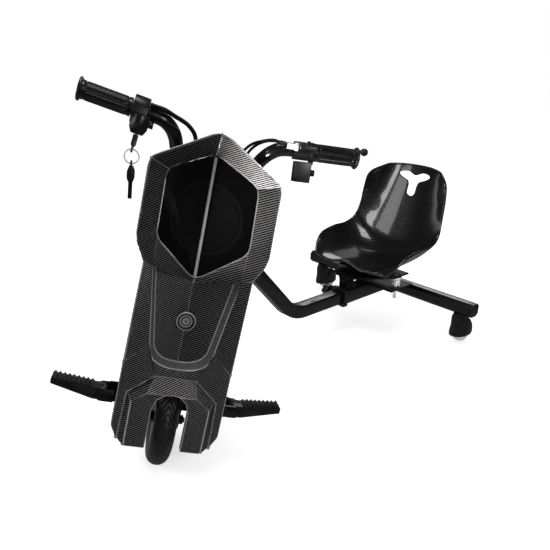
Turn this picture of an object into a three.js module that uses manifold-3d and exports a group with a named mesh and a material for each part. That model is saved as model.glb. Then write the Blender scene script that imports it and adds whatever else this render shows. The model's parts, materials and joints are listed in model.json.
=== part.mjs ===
// Drift trike: a steered front head with fairing, motor wheel and handlebar, on a sliding
// three-wheel frame with two swivel casters and a bucket seat.
// Millimetres, +Z up, the trike faces -Y. The head is stored turned to the side.
import * as THREE from 'three';
import { mergeVertices } from 'three/addons/utils/BufferGeometryUtils.js';
import Module from 'manifold-3d';

const wasm = await Module();
wasm.setup();

// Shared clearances
const gap = 0.4; // between still faces that nearly touch
const runningGap = 0.6; // between a turning or sliding piece and its seat
const overrun = 8; // how far a cutting body passes the face that it cuts

// Steering geometry
const rake = THREE.MathUtils.degToRad(16.8);
const steer = THREE.MathUtils.degToRad(59.4);
const steeringTrail = 210; // from the steering axis forward to the wheel centre

// Front wheel
const wheel = { radius: 97, width: 47, rimRadius: 60, rimWidth: 38, crown: 23.5, axle: 6 };

// Fork and chassis
const fork = { inside: 28, wall: 5, length: 40, foot: 20, crownBase: 106, crownTop: 118, tongue: 80, tongueWidth: 40 };
const column = { width: 40, front: -6, depth: 40, top: 485 };
const armPlate = { thickness: 10, radius: 22, lower: 365, upper: 475 };
const headTube = { centre: 425, radius: 22, bore: 17.6, steerer: 14 };
const stayPlate = { height: 300, thickness: 6, width: 60, reach: 54.7 };

// Front fairing: each corner as [across, height along the steering axis, reach ahead of the wheel centre]
const fairing = {
  wall: 4, depth: 26,
  crest: [0, 588, 50], shoulder: [119, 516, 99], hip: [119, 377, 125], wing: [99, 340, 121],
  flank: [102, 150, 102], skirt: [104, 15, 95], toe: [89, -14, 93], notch: [85, 87, 97],
  brow: [39, 125, 96], browMiddle: [0, 125, 96],
  windowTop: [0, 547, 17], windowUpper: [85, 503, 60], windowLower: [84, 384.5, 101], windowFoot: [0, 313, 62],
  rimUpper: [80, 331, 106], rimLower: [57.5, 170, 102], rimCorner: [30, 149, 97], rimMiddle: [0, 143, 94],
  floorTop: [0, 307, 59], floorUpper: [72, 325, 79], floorLower: [50, 175, 76], floorCorner: [27, 155, 71],
  floorFoot: [0, 147, 64],
};
const lamp = { recess: 3, wall: 3, ridgeWidth: 6, ridgeHeight: 3, radius: 70, ring: 8, height: 428, depth: 10, lip: 6 };
const badge = { radius: 20, rim: 6, depth: 5, height: 233, bevel: 3 };
// Front mudguard: a plate round the wheel arch, with a sloped band above and chamfered sides
const guard = {
  wall: 4, depth: 18, seam: 0.8,
  edgeReach: 91, faceReach: 101, topReach: 89, face: 75, faceTop: 71, foot: -22, outerFoot: -13,
  crease: 47, creaseHeight: 91, arch: 34.5, archSide: 60, archShoulder: 28, archShoulderTop: 79,
  archCorner: 14, archCornerTop: 90, archTop: 92,
};
const battery = { width: 116, depth: 44, base: 148, height: 142 };
const controller = { width: 76, depth: 24, base: 310, height: 46 };
const tray = { width: 168, wall: 3, back: -52, front: 48, base: 140, top: 297 };

// Handlebar and controls
const bar = {
  radius: 12.5, clampWidth: 48, clampSize: 43, height: 508, reach: -28,
  gripReach: 67, gripHeight: 585, straight: 136, end: 246,
};
const barRise = THREE.MathUtils.degToRad(6); // the grips rise outwards
const grip = { radius: 16, flange: 20, flangeWidth: 5, left: 168, right: 162 };
const housing = { inner: 134, width: 26, radius: 24 };
const lock = { topRadius: 10, radius: 15, height: 32, cone: 10, top: 577, across: -142, reach: 106.5, boss: 12 };
const key = { blade: 7, thickness: 2.5, length: 31, width: 16, bow: 4.2, eye: 1.6, eyeHeight: 9, hole: 2.8 };
const keyRing = { radius: 12, wire: 1.3 };
const spareKey = { fobWidth: 17, fobLength: 34, fobThickness: 13, bladeWidth: 7, bladeLength: 30, bladeThickness: 2.4 };
const modeKnob = { radius: 7, length: 12, travel: 2, drop: 17, forward: 11, shaft: 2, shaftLength: 9 };
const perch = { inner: 130, width: 30, size: 32, arm: 22 };
const lever = { pivotAcross: 146, pivotReach: 108, height: 596, blade: 10, thickness: 6, tip: 247, ball: 7, hole: 3.4, pin: 3 };
const adjuster = { radius: 5, length: 20, nut: 7, nutWidth: 6, reach: 98, height: 590 };
const switchBox = { width: 30, depth: 26, top: 567, bottom: 530, across: 149 };
const hornButton = { radius: 6, length: 9, travel: 2, shaft: 3, shaftLength: 9 };

// Foot pegs
const peg = {
  hinge: 130, height: 63, reach: 50, bracket: 5, root: 24, tip: 11, length: 95, depth: 34, tooth: 4.5, teeth: 9,
  rise: 7, pin: 4, ear: 6, armBase: 43, armTop: 84,
};

// Rear frame
const tube = { size: 38, chamfer: 4, height: 117, corner: 428, bend: 46, end: 772 };
const sleeve = { size: 46, start: 636, collar: 56, collarLength: 14, boss: 11, bossLength: 17, knobBack: 2 };
const crossbar = { size: 40, chamfer: 9, place: 845, half: 318, cap: 10, capInset: 12, capWall: 3 };
const knob = { radius: 19, thickness: 20, gap: 8, shank: 4, lobes: 6, lobeShare: 0.16 };
const basePlate = { half: 121, front: 723, thickness: 5, hole: 9 };
const post = { width: 33, front: 642, depth: 26, wall: 4, ribs: 4, rib: 3, pinHeight: 168, pin: 5, eye: 9 };
const seatPlate = { half: 112, front: 638, back: 812, thickness: 5, top: 181, lug: 5, pad: 30, nose: 30, taper: 746 };
const spring = { across: 100, place: 768, radius: 13, wire: 1.8, coils: 2.5, ends: 0.75 };
const bolt = { radius: 5, cup: 17, cupHeight: 4, nut: 9, nutHeight: 8, tail: 106 };

// Casters
const caster = { across: 282, trail: 24, radius: 32, width: 27, hub: 13, axle: 4, stem: 6, stemDepth: 26 };
const hood = { radius: 40, inner: 35, width: 41, cheek: 4, opening: 26, neck: 25, plate: 17, disc: 21, discWidth: 9 };

// Bucket seat: stations from the front lip to the top of the back, as [place, height] on the
// centre line and [half width, place, height] along the rim
const seat = {
  wall: 6, wrap: 2.6, columns: 20, clear: 3,
  middle: [[646, 226], [664, 211], [701, 200], [768, 194], [825, 201], [869, 228], [895, 279], [923, 360], [942, 422], [958, 474]],
  rim: [
    [142, 664, 215], [160, 686, 243], [169, 718, 266], [172, 776, 277], [170, 827, 279],
    [163, 864, 298], [156, 882, 339], [152, 892, 398], [141, 902, 441], [98, 936, 469],
  ],
  rise: 12, scoop: 0.52,
};
const cutOut = { height: 446, half: 59, arm: 15, stem: 22, foot: 381, notch: 24, depth: 90 };

// Cable routes are hand placed points of the head: across, reach, height
const cableRadius = 2.6;
const sheathRadius = 4;

// Finishes
const finishes = {
  carbon: { color: 0x111213, roughness: 0.35, metalness: 0.1 },
  glossBlack: { color: 0x050506, roughness: 0.08, metalness: 0 },
  satinBlack: { color: 0x0c0c0d, roughness: 0.45, metalness: 0.3 },
  rubber: { color: 0x151515, roughness: 0.85, metalness: 0 },
  plastic: { color: 0x101011, roughness: 0.55, metalness: 0 },
  zinc: { color: 0xb9bdb6, roughness: 0.3, metalness: 1 },
  white: { color: 0xeceae4, roughness: 0.4, metalness: 0 },
  grey: { color: 0x8d8f92, roughness: 0.4, metalness: 0.4 },
};

// Turns a geometry into one closed, outward facing mesh with shared vertices
function closed(geometry) {
  const bare = geometry.clone();
  bare.deleteAttribute('normal');
  bare.deleteAttribute('uv');
  const merged = mergeVertices(bare, 1e-4);
  const index = merged.index.array;
  const place = merged.attributes.position;
  const kept = [];
  let volume = 0;
  const a = new THREE.Vector3();
  const b = new THREE.Vector3();
  const c = new THREE.Vector3();
  for (let i = 0; i < index.length; i += 3) {
    const [p, q, r] = [index[i], index[i + 1], index[i + 2]];
    if (p === q || q === r || r === p) continue;
    a.fromBufferAttribute(place, p);
    b.fromBufferAttribute(place, q);
    c.fromBufferAttribute(place, r);
    volume += a.dot(b.cross(c));
    kept.push(p, q, r);
  }
  if (volume < 0) {
    for (let i = 0; i < kept.length; i += 3) {
      [kept[i], kept[i + 1]] = [kept[i + 1], kept[i]];
    }
  }
  merged.setIndex(kept);
  return merged;
}

function asSolid(geometry) {
  const clean = closed(geometry);
  return new wasm.Manifold(new wasm.Mesh({
    numProp: 3,
    vertProperties: new Float32Array(clean.attributes.position.array),
    triVerts: new Uint32Array(clean.index.array),
  }));
}

function asGeometry(solid) {
  const mesh = solid.getMesh();
  const geometry = new THREE.BufferGeometry();
  geometry.setAttribute('position', new THREE.BufferAttribute(new Float32Array(mesh.vertProperties), 3));
  geometry.setIndex(new THREE.BufferAttribute(new Uint32Array(mesh.triVerts), 1));
  return geometry;
}

// Joins a list of geometries and takes another list away
function carve(added, removed = []) {
  let solid = asSolid(added[0]);
  for (const geometry of added.slice(1)) solid = solid.add(asSolid(geometry));
  for (const geometry of removed) solid = solid.subtract(asSolid(geometry));
  return asGeometry(solid);
}

// A box from its low and high corners
function block(low, high) {
  const size = high.map((value, axis) => value - low[axis]);
  const geometry = new THREE.BoxGeometry(...size);
  geometry.translate(...high.map((value, axis) => (value + low[axis]) / 2));
  return geometry;
}

function turnTo(geometry, axis) {
  if (axis === 'x') geometry.rotateZ(-Math.PI / 2);
  if (axis === 'z') geometry.rotateX(Math.PI / 2);
  return geometry;
}

// A round bar between two places on a line along x, y or z
function rod(radius, axis, from, to, centre, sides = 24) {
  const geometry = turnTo(new THREE.CylinderGeometry(radius, radius, to - from, sides), axis);
  const middle = (from + to) / 2;
  const place = { x: [middle, centre[0], centre[1]], y: [centre[0], middle, centre[1]], z: [centre[0], centre[1], middle] };
  geometry.translate(...place[axis]);
  return geometry;
}

// A turned piece: profile points are [radius, distance along the axis], counter-clockwise
function turned(profile, axis, centre, sides = 32) {
  const points = profile.map(([radius, along]) => new THREE.Vector2(radius, along));
  const geometry = turnTo(new THREE.LatheGeometry(points, sides), axis);
  geometry.translate(...centre);
  return geometry;
}

// A ring profile closes on itself
function ring(inner, outer, from, to) {
  return [[inner, from], [outer, from], [outer, to], [inner, to], [inner, from]];
}

// An outline in the x-z plane, made solid from one y to another
function slab(outline, from, to) {
  const shape = new THREE.Shape(outline.map(([x, z]) => new THREE.Vector2(x, z)));
  const geometry = new THREE.ExtrudeGeometry(shape, { depth: to - from, bevelEnabled: false, curveSegments: 12 });
  geometry.rotateX(Math.PI / 2);
  geometry.translate(0, to, 0);
  return geometry;
}

// An outline in the y-z plane, made solid from one x to another
function sidePlate(outline, from, to) {
  const geometry = slab(outline, -to, -from);
  geometry.rotateZ(Math.PI / 2);
  return geometry;
}

// A square section with cut corners
function tubeSection(size, chamfer) {
  const half = size / 2;
  const inner = half - chamfer;
  return new THREE.Shape([
    [inner, -half], [half, -inner], [half, inner], [inner, half],
    [-inner, half], [-half, inner], [-half, -inner], [-inner, -half],
  ].map(([x, y]) => new THREE.Vector2(x, y)));
}

function barAlong(size, chamfer, axis, from, to, centre) {
  const geometry = new THREE.ExtrudeGeometry(tubeSection(size, chamfer), { depth: to - from, bevelEnabled: false });
  if (axis === 'x') geometry.rotateY(Math.PI / 2).translate(from, centre[0], centre[1]);
  if (axis === 'y') geometry.rotateX(-Math.PI / 2).translate(centre[0], from, centre[1]);
  if (axis === 'z') geometry.translate(centre[0], centre[1], from);
  return geometry;
}

function roundOutline(radius, sides) {
  const outline = [];
  for (let i = 0; i < sides; i += 1) {
    const angle = (i / sides) * 2 * Math.PI;
    outline.push([radius * Math.cos(angle), radius * Math.sin(angle)]);
  }
  return outline;
}

// One closed bar through a list of points; its outline is carried along without twist
function sweep(points, outline) {
  const sides = outline.length;
  const positions = [];
  const index = [];
  const upward = new THREE.Vector3(0, 0, 1);
  let side = null;
  points.forEach((point, i) => {
    const before = points[Math.max(i - 1, 0)];
    const after = points[Math.min(i + 1, points.length - 1)];
    const tangent = after.clone().sub(before).normalize();
    side = side ? side.addScaledVector(tangent, -side.dot(tangent)).normalize() : tangent.clone().cross(upward).normalize();
    const rise = side.clone().cross(tangent);
    for (const [across, up] of outline) {
      const vertex = point.clone().addScaledVector(side, across).addScaledVector(rise, up);
      positions.push(vertex.x, vertex.y, vertex.z);
    }
  });
  for (let i = 0; i < points.length - 1; i += 1) {
    for (let j = 0; j < sides; j += 1) {
      const a = i * sides + j;
      const b = i * sides + ((j + 1) % sides);
      index.push(a, b, a + sides);
      index.push(b, b + sides, a + sides);
    }
  }
  const last = (points.length - 1) * sides;
  for (let j = 1; j < sides - 1; j += 1) {
    index.push(0, j + 1, j);
    index.push(last, last + j, last + j + 1);
  }
  const geometry = new THREE.BufferGeometry();
  geometry.setAttribute('position', new THREE.Float32BufferAttribute(positions, 3));
  geometry.setIndex(index);
  return geometry;
}

// Head places are [across, reach, height]; the mesh's y runs backwards
const headPoint = ([across, reach, height]) => new THREE.Vector3(across, -reach, height);
const mirrored = ([across, ...rest]) => [-across, ...rest];

// A thin-walled or solid relief. Each vertex is [across, height, reach]; its back lies deep behind it.
function relief(vertices, faces, deep) {
  const positions = [];
  for (const [across, height, reach] of vertices) positions.push(across, -reach, height);
  for (const [across, height, reach] of vertices) positions.push(across, deep - reach, height);
  const count = vertices.length;
  const triangles = [];
  const edges = new Map();
  for (const face of faces) {
    for (let i = 1; i < face.length - 1; i += 1) {
      triangles.push([face[0], face[i], face[i + 1]]);
    }
    face.forEach((from, i) => edges.set(`${from} ${face[(i + 1) % face.length]}`, [from, face[(i + 1) % face.length]]));
  }
  const index = [];
  for (const [a, b, c] of triangles) {
    index.push(a, b, c);
    index.push(a + count, c + count, b + count);
  }
  for (const [from, to] of edges.values()) {
    if (edges.has(`${to} ${from}`)) continue;
    index.push(from, to + count, to);
    index.push(from, from + count, to + count);
  }
  const geometry = new THREE.BufferGeometry();
  geometry.setAttribute('position', new THREE.Float32BufferAttribute(positions, 3));
  geometry.setIndex(index);
  return geometry;
}

// Names one half of a relief, and gives both halves' vertices and faces
function bothHalves(points, halfFaces) {
  const names = Object.keys(points);
  const vertices = names.map((name) => points[name]);
  const number = new Map(names.map((name, i) => [name, i]));
  const twin = new Map();
  names.forEach((name, i) => {
    const point = points[name];
    if (point[0] === 0) {
      twin.set(name, i);
    } else {
      twin.set(name, vertices.length);
      vertices.push(mirrored(point));
    }
  });
  const faces = [];
  for (const face of halfFaces) {
    faces.push(face.map((name) => number.get(name)));
    faces.push(face.map((name) => twin.get(name)).reverse());
  }
  return { vertices, faces };
}

const finish = (name) => new THREE.MeshStandardMaterial(finishes[name]);

function piece(name, geometry, finishName) {
  const mesh = new THREE.Mesh(closed(geometry), finish(finishName));
  mesh.name = name;
  return mesh;
}

// Front wheel
const wheelCentre = [0, 0, 0];

function tyreGeometry() {
  const half = wheel.width / 2;
  const profile = [];
  const steps = 8;
  const shoulder = wheel.radius - wheel.crown;
  for (let i = 0; i <= steps; i += 1) {
    const angle = -Math.PI / 2 + (i / steps) * Math.PI;
    profile.push([shoulder + wheel.crown * Math.cos(angle), half * Math.sin(angle)]);
  }
  profile.push([wheel.rimRadius, wheel.rimWidth / 2]);
  profile.push([wheel.rimRadius, -wheel.rimWidth / 2]);
  profile.push(profile[0]);
  return turned(profile, 'x', wheelCentre, 40);
}

function hubGeometry() {
  const half = wheel.rimWidth / 2;
  const bore = wheel.axle + gap;
  const rim = wheel.rimRadius - gap;
  const boss = fork.inside - runningGap;
  const dish = wheel.crown / 2;
  return turned([
    [bore, -boss], [dish, -boss], [dish + gap, -half], [rim, -half],
    [rim, half], [dish + gap, half], [dish, boss], [bore, boss], [bore, -boss],
  ], 'x', wheelCentre, 36);
}

function forkGeometry() {
  const outer = fork.inside + fork.wall;
  const added = [];
  for (const side of [-1, 1]) {
    const from = side > 0 ? fork.inside : -outer;
    added.push(block([from, -fork.length / 2, 0], [from + fork.wall, fork.length / 2, fork.crownTop]));
    added.push(rod(fork.foot, 'x', from, from + fork.wall, [0, 0]));
    added.push(block([from, -peg.reach + peg.bracket, peg.armBase], [from + fork.wall, 0, peg.armTop]));
  }
  added.push(block([-outer, -fork.length / 2, fork.crownBase], [outer, fork.length / 2, fork.crownTop]));
  added.push(block(
    [-fork.tongueWidth / 2, -fork.tongue, fork.crownBase],
    [fork.tongueWidth / 2, 0, fork.crownBase + fork.wall],
  ));
  return carve(added, [rod(wheel.axle + gap, 'x', -outer - overrun, outer + overrun, [0, 0])]);
}

function hexNut(across, thickness, bore) {
  return carve(
    [turnTo(new THREE.CylinderGeometry(across, across, thickness, 6), 'x')],
    [rod(bore, 'x', -thickness, thickness, [0, 0], 24)],
  );
}

// Chassis column with its two arms back to the steering axis, and the stay for the fairing
function columnGeometry() {
  const half = column.width / 2;
  const front = -column.front;
  const back = front + column.depth;
  const added = [block([-half, front, fork.crownTop + gap], [half, back, column.top])];
  for (const base of [armPlate.lower, armPlate.upper]) {
    const top = base + armPlate.thickness;
    added.push(block([-armPlate.radius, back - overrun, base], [armPlate.radius, steeringTrail, top]));
    added.push(rod(armPlate.radius, 'z', base, top, [0, steeringTrail], 32));
  }
  added.push(block(
    [-stayPlate.width / 2, -stayPlate.reach, stayPlate.height],
    [stayPlate.width / 2, front + overrun, stayPlate.height + stayPlate.thickness],
  ));
  const bore = rod(headTube.steerer + gap, 'z', armPlate.lower - overrun, armPlate.upper + overrun * 3, [0, steeringTrail], 32);
  return carve(added, [bore]);
}

// The steerer has a head at each end that keeps it in the arms
function steererGeometry() {
  const low = armPlate.lower - gap;
  const high = armPlate.upper + armPlate.thickness + gap;
  const cap = armPlate.radius * 0.86;
  const rise = armPlate.thickness * 0.7;
  return turned([
    [0, low - rise], [cap, low - rise], [cap, low], [headTube.steerer, low],
    [headTube.steerer, high], [cap, high], [cap, high + rise], [0, high + rise],
  ], 'z', [0, steeringTrail, 0], 24);
}

const headTubeHalf = (armPlate.upper - armPlate.lower - armPlate.thickness) / 2 - armPlate.thickness / 2 - runningGap;

// Flanged bearing ring at one end of the head tube; side is -1 below and 1 above
function bearingGeometry(side) {
  const inner = headTube.steerer + gap;
  const seatRadius = headTube.bore - gap;
  const flange = headTube.radius - runningGap;
  const end = headTube.centre + side * (headTubeHalf + gap);
  const face = side < 0 ? armPlate.lower + armPlate.thickness + gap : armPlate.upper - gap;
  const deep = end - side * armPlate.thickness;
  const profile = [[inner, deep], [seatRadius, deep], [seatRadius, end], [flange, end], [flange, face], [inner, face], [inner, deep]];
  return turned(profile, 'z', [0, steeringTrail, 0], 24);
}

// Fairing faces of the right half, counter-clockwise as seen from the front
const fairingFaces = [
  ['crest', 'windowTop', 'windowUpper', 'shoulder'],
  ['shoulder', 'windowUpper', 'windowLower', 'hip'],
  ['hip', 'windowLower', 'rimUpper', 'wing'],
  ['windowFoot', 'floorTop', 'floorUpper', 'rimUpper', 'windowLower'],
  ['rimUpper', 'floorUpper', 'floorLower', 'rimLower'],
  ['rimLower', 'floorLower', 'floorCorner', 'rimCorner'],
  ['rimCorner', 'floorCorner', 'floorFoot', 'rimMiddle'],
  ['floorTop', 'floorFoot', 'floorCorner', 'floorLower', 'floorUpper'],
  ['wing', 'rimUpper', 'rimLower', 'flank'],
  ['rimLower', 'rimCorner', 'brow'],
  ['rimCorner', 'rimMiddle', 'browMiddle', 'brow'],
  ['rimLower', 'brow', 'notch', 'flank'],
  ['flank', 'notch', 'toe', 'skirt'],
];
const windowFace = ['windowTop', 'windowFoot', 'windowLower', 'windowUpper'];
const windowNames = new Set(windowFace);

function fairingPoints() {
  const points = {};
  for (const [name, value] of Object.entries(fairing)) {
    if (Array.isArray(value)) points[name] = value;
  }
  return points;
}

// How each edge point of the fairing moves sideways, up and back by the wall
const edgeInset = {
  crest: [0, -1.3, 2.6], shoulder: [-1, -0.7, 3], hip: [-1, 0.4, 2.6], wing: [-1, 0, 2], flank: [-1, 0, 1.6],
  skirt: [-1, 0.4, 1.4], toe: [0.9, 1.3, 1.2], notch: [0.9, 0.9, 1.2], brow: [0.3, 1, 1.2], browMiddle: [0, 1, 1.2],
  rimUpper: [0, 0, 1.6], windowLower: [0, 0, 1.2], windowUpper: [0, 0, 1.2],
};

function fairingInner() {
  const inner = {};
  for (const [name, [across, height, reach]] of Object.entries(fairingPoints())) {
    const [side, up, drop] = edgeInset[name] ?? [0, 0, 1];
    inner[name] = [across + side * fairing.wall, height + up * fairing.wall, reach - drop * fairing.wall];
  }
  return inner;
}

function fairingGeometry() {
  const faces = [...fairingFaces, windowFace];
  const outer = bothHalves(fairingPoints(), faces);
  const inner = bothHalves(fairingInner(), faces);
  const window = bothHalves(
    Object.fromEntries(Object.entries(fairingPoints()).filter(([name]) => windowNames.has(name))),
    [windowFace],
  );
  const opening = window.vertices.map(([across, height, reach]) => [across, height, reach + overrun]);
  return carve(
    [relief(outer.vertices, outer.faces, fairing.depth)],
    [
      relief(inner.vertices, inner.faces, fairing.depth + overrun),
      relief(opening, window.faces, fairing.depth + overrun * 3),
    ],
  );
}

// Window points, drawn in by a gap and set back behind the frame's edge
function panelPoints(back) {
  const inset = { windowTop: [0, -1.4], windowUpper: [-1, -0.8], windowLower: [-1, 0.8], windowFoot: [0, 1.4] };
  const points = {};
  for (const name of windowNames) {
    const [across, height, reach] = fairing[name];
    const [side, up] = inset[name];
    points[name] = [across + side * gap, height + up * gap, reach - back];
  }
  return points;
}

function lampPanelGeometry() {
  const { vertices, faces } = bothHalves(panelPoints(lamp.recess), [windowFace]);
  return relief(vertices, faces, lamp.wall);
}

// The thin raised bar down the middle of the panel stands on the panel's crease
function ridgeGeometry() {
  const points = panelPoints(lamp.recess - lamp.ridgeHeight);
  const half = lamp.ridgeWidth / 2;
  const lift = gap * 4;
  const crease = (name, share) => {
    const side = points[name === 'top' ? 'windowUpper' : 'windowLower'];
    const middle = points[name === 'top' ? 'windowTop' : 'windowFoot'];
    return [half, middle[1] + share * lamp.ridgeWidth, middle[2] + (half / side[0]) * (side[2] - middle[2]) + lift];
  };
  const top = crease('top', -1);
  const foot = crease('foot', 1);
  const vertices = [mirrored(foot), foot, top, mirrored(top)];
  return relief(vertices, [[0, 1, 2, 3]], lamp.ridgeHeight);
}

function headlampGeometry() {
  const back = -column.front - gap;
  const front = back - lamp.depth;
  const outer = lamp.radius;
  const groove = outer - lamp.ring;
  return turned([
    [0, back], [outer, back], [outer, front - lamp.lip], [groove, front - lamp.lip], [groove, front], [0, front],
  ], 'y', [0, 0, lamp.height], 36);
}

function channelReach(height) {
  const [, topHeight, topReach] = fairing.floorTop;
  const [, footHeight, footReach] = fairing.floorFoot;
  return footReach + ((height - footHeight) / (topHeight - footHeight)) * (topReach - footReach);
}

// Round boss on the channel floor, with a raised rim
function badgeGeometry() {
  const slope = (fairing.floorUpper[2] - fairing.floorTop[2]) / fairing.floorUpper[0];
  const back = -(channelReach(badge.height) + slope * badge.radius + gap);
  const front = back - badge.depth;
  const inner = badge.radius - badge.rim;
  return turned([
    [0, back], [badge.radius, back], [badge.radius, front + badge.bevel], [badge.radius - badge.bevel, front],
    [inner, front], [inner, front + badge.bevel], [0, front + badge.bevel],
  ], 'y', [0, 0, badge.height], 28);
}

function guardPoints() {
  const seam = guard.seam;
  const face = guard.faceReach;
  return {
    top: [0, fairing.browMiddle[1] - seam, guard.topReach],
    topCorner: [fairing.brow[0], fairing.brow[1] - seam, guard.topReach],
    shoulder: [fairing.notch[0] - seam, fairing.notch[1] - seam, guard.edgeReach],
    edgeFoot: [fairing.toe[0] - seam, guard.outerFoot, guard.edgeReach],
    crease: [guard.crease, guard.creaseHeight, face],
    faceTop: [guard.face, guard.faceTop, face],
    faceFoot: [guard.face, guard.foot, face],
    archFoot: [guard.arch, guard.foot, face],
    archSide: [guard.arch, guard.archSide, face],
    archShoulder: [guard.archShoulder, guard.archShoulderTop, face],
    archCorner: [guard.archCorner, guard.archCornerTop, face],
    archTop: [0, guard.archTop, face],
  };
}

const guardFaces = [
  ['top', 'archTop', 'archCorner', 'crease', 'topCorner'],
  ['topCorner', 'crease', 'faceTop', 'shoulder'],
  ['shoulder', 'faceTop', 'faceFoot', 'edgeFoot'],
  ['crease', 'archCorner', 'archShoulder', 'archSide', 'faceTop'],
  ['faceTop', 'archSide', 'archFoot', 'faceFoot'],
];
const guardInset = {
  top: [0, -1], topCorner: [-0.3, -1], shoulder: [-1, -0.6], edgeFoot: [-1, 1], faceFoot: [0, 1],
  archFoot: [1, 1], archSide: [1, 0], archShoulder: [0.8, 0.6], archCorner: [0.4, 1], archTop: [0, 1],
};

function guardGeometry() {
  const outer = bothHalves(guardPoints(), guardFaces);
  const innerPoints = {};
  for (const [name, [across, height, reach]] of Object.entries(guardPoints())) {
    const [side, up] = guardInset[name] ?? [0, 0];
    innerPoints[name] = [across + side * guard.wall, height + up * guard.wall, reach - guard.wall];
  }
  const inner = bothHalves(innerPoints, guardFaces);
  return carve(
    [relief(outer.vertices, outer.faces, guard.depth)],
    [relief(inner.vertices, inner.faces, guard.depth + overrun)],
  );
}

function trayGeometry() {
  const half = tray.width / 2;
  const wall = tray.wall;
  const notch = column.width / 2 + gap;
  const front = -column.front - gap;
  const slot = [
    [-notch, front, tray.base - overrun], [notch, front + column.depth + gap * 2, tray.top + overrun],
  ];
  return carve(
    [block([-half, -tray.front, tray.base], [half, -tray.back, tray.top])],
    [
      block([-half + wall, -tray.front - overrun, tray.base + wall], [half - wall, -tray.back - wall, tray.top - wall]),
      block(...slot),
    ],
  );
}

function batteryGeometry() {
  const back = -column.front - gap;
  return block(
    [-battery.width / 2, back - battery.depth, battery.base],
    [battery.width / 2, back, battery.base + battery.height],
  );
}

function controllerGeometry() {
  const back = -column.front - gap;
  return block(
    [-controller.width / 2, back - controller.depth, controller.base],
    [controller.width / 2, back, controller.base + controller.height],
  );
}

// The controls are drawn along a level bar and then turned up with its straight end
function barPoint(side, [across, reach, height]) {
  const out = Math.abs(across) - bar.straight;
  const up = height - bar.gripHeight;
  return [
    side * (bar.straight + out * Math.cos(barRise) - up * Math.sin(barRise)),
    reach,
    bar.gripHeight + out * Math.sin(barRise) + up * Math.cos(barRise),
  ];
}

function onBar(side, geometry) {
  geometry.translate(-side * bar.straight, 0, -bar.gripHeight);
  geometry.rotateY(-side * barRise);
  return geometry.translate(side * bar.straight, 0, bar.gripHeight);
}

// Handlebar bend of the one half, as across, reach and height; straight bars join its ends
const barBend = [
  [28, bar.reach, bar.height], [46, bar.reach + 2, bar.height + 2], [62, -9, 519], [74, 20, 540], [81, 44, 557],
  [91, 60, 570.5], [104, 66, 579.3], [120, bar.gripReach, 583.3], [bar.straight, bar.gripReach, bar.gripHeight],
];

function handlebarGeometry() {
  const bend = new THREE.CatmullRomCurve3(barBend.map(headPoint), false, 'centripetal').getPoints(16);
  const half = [...bend, headPoint(barPoint(1, [bar.end, bar.gripReach, bar.gripHeight]))];
  const twin = half.map((point) => new THREE.Vector3(-point.x, point.y, point.z)).reverse();
  return sweep([...twin, ...half], roundOutline(bar.radius, 12));
}

function clampGeometry() {
  const half = bar.clampWidth / 2;
  const size = bar.clampSize / 2;
  const base = column.top + gap;
  const outer = block([-half, -bar.reach - size, base], [half, -bar.reach + size, bar.height + size]);
  return carve([outer], [rod(bar.radius + gap, 'x', -half - overrun, half + overrun, [-bar.reach, bar.height])]);
}

const barLine = [-bar.gripReach, bar.gripHeight];

// A grip sleeve on the bar with a flange at its outer end; side is -1 or 1
function gripGeometry(side) {
  const bore = bar.radius + gap;
  const start = side > 0 ? grip.left : grip.right;
  const end = bar.end + gap;
  const profile = [
    [0, end + grip.flangeWidth], [grip.flange, end + grip.flangeWidth], [grip.flange, end], [grip.radius, end],
    [grip.radius, start], [bore, start], [bore, end], [0, end],
  ].map(([radius, along]) => [radius, side * along]);
  return onBar(side, turned(profile, 'x', [0, ...barLine], 28));
}

const modeLine = [-bar.gripReach - modeKnob.forward, bar.gripHeight - modeKnob.drop];

// Throttle housing: a ring on the bar, a boss in front for the lock, and the mode button's bore
function housingGeometry() {
  const from = -housing.inner - housing.width;
  const to = -housing.inner;
  const added = [
    rod(housing.radius, 'x', from, to, barLine, 24),
    block([from, -lock.reach - lock.radius, lock.top + gap], [to, -bar.gripReach, lock.top + gap + lock.boss]),
  ];
  return onBar(-1, carve(added, [
    rod(bar.radius + gap, 'x', from - overrun, to + overrun, barLine, 24),
    rod(modeKnob.shaft + gap, 'x', to - modeKnob.shaftLength, to + overrun, modeLine, 16),
  ]));
}

const lockFoot = lock.top - lock.height;

// Cone-shaped lock barrel that hangs under the throttle housing's front boss, with the key's slot
function lockGeometry() {
  const body = turned([
    [0, lockFoot], [lock.topRadius, lockFoot], [lock.radius, lockFoot + lock.cone], [lock.radius, lock.top], [0, lock.top],
  ], 'z', [lock.across, -lock.reach, 0], 24);
  const half = key.blade / 2 + gap * 2;
  const slot = rod(half, 'z', lockFoot - overrun, lockFoot + key.length / 2, [lock.across, -lock.reach], 16);
  return onBar(-1, carve([body], [slot]));
}

// Key blade in the lock with a wide bow below it; the bow thins to an eye for the ring
function keyGeometry() {
  const top = lockFoot + key.length / 2 - gap;
  const foot = lockFoot - key.length;
  const shoulder = lockFoot - gap * 2;
  const low = [lock.across - key.thickness / 2, -lock.reach - key.blade / 2, shoulder - gap];
  const high = [lock.across + key.thickness / 2, -lock.reach + key.blade / 2, top];
  const waist = foot + key.eyeHeight;
  const half = [[key.eye, foot], [key.eye, waist], [key.bow, waist + key.bow], [key.bow, shoulder]];
  const outline = [...half, ...half.map(mirrored).reverse()].map(([x, z]) => [x + lock.across, z]);
  const bow = slab(outline, -lock.reach - key.width / 2, -lock.reach + key.width / 2);
  const hole = rod(key.hole, 'x', lock.across - overrun, lock.across + overrun, [-lock.reach, foot + key.hole * 2], 16);
  return onBar(-1, carve([block(low, high), bow], [hole]));
}

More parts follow.
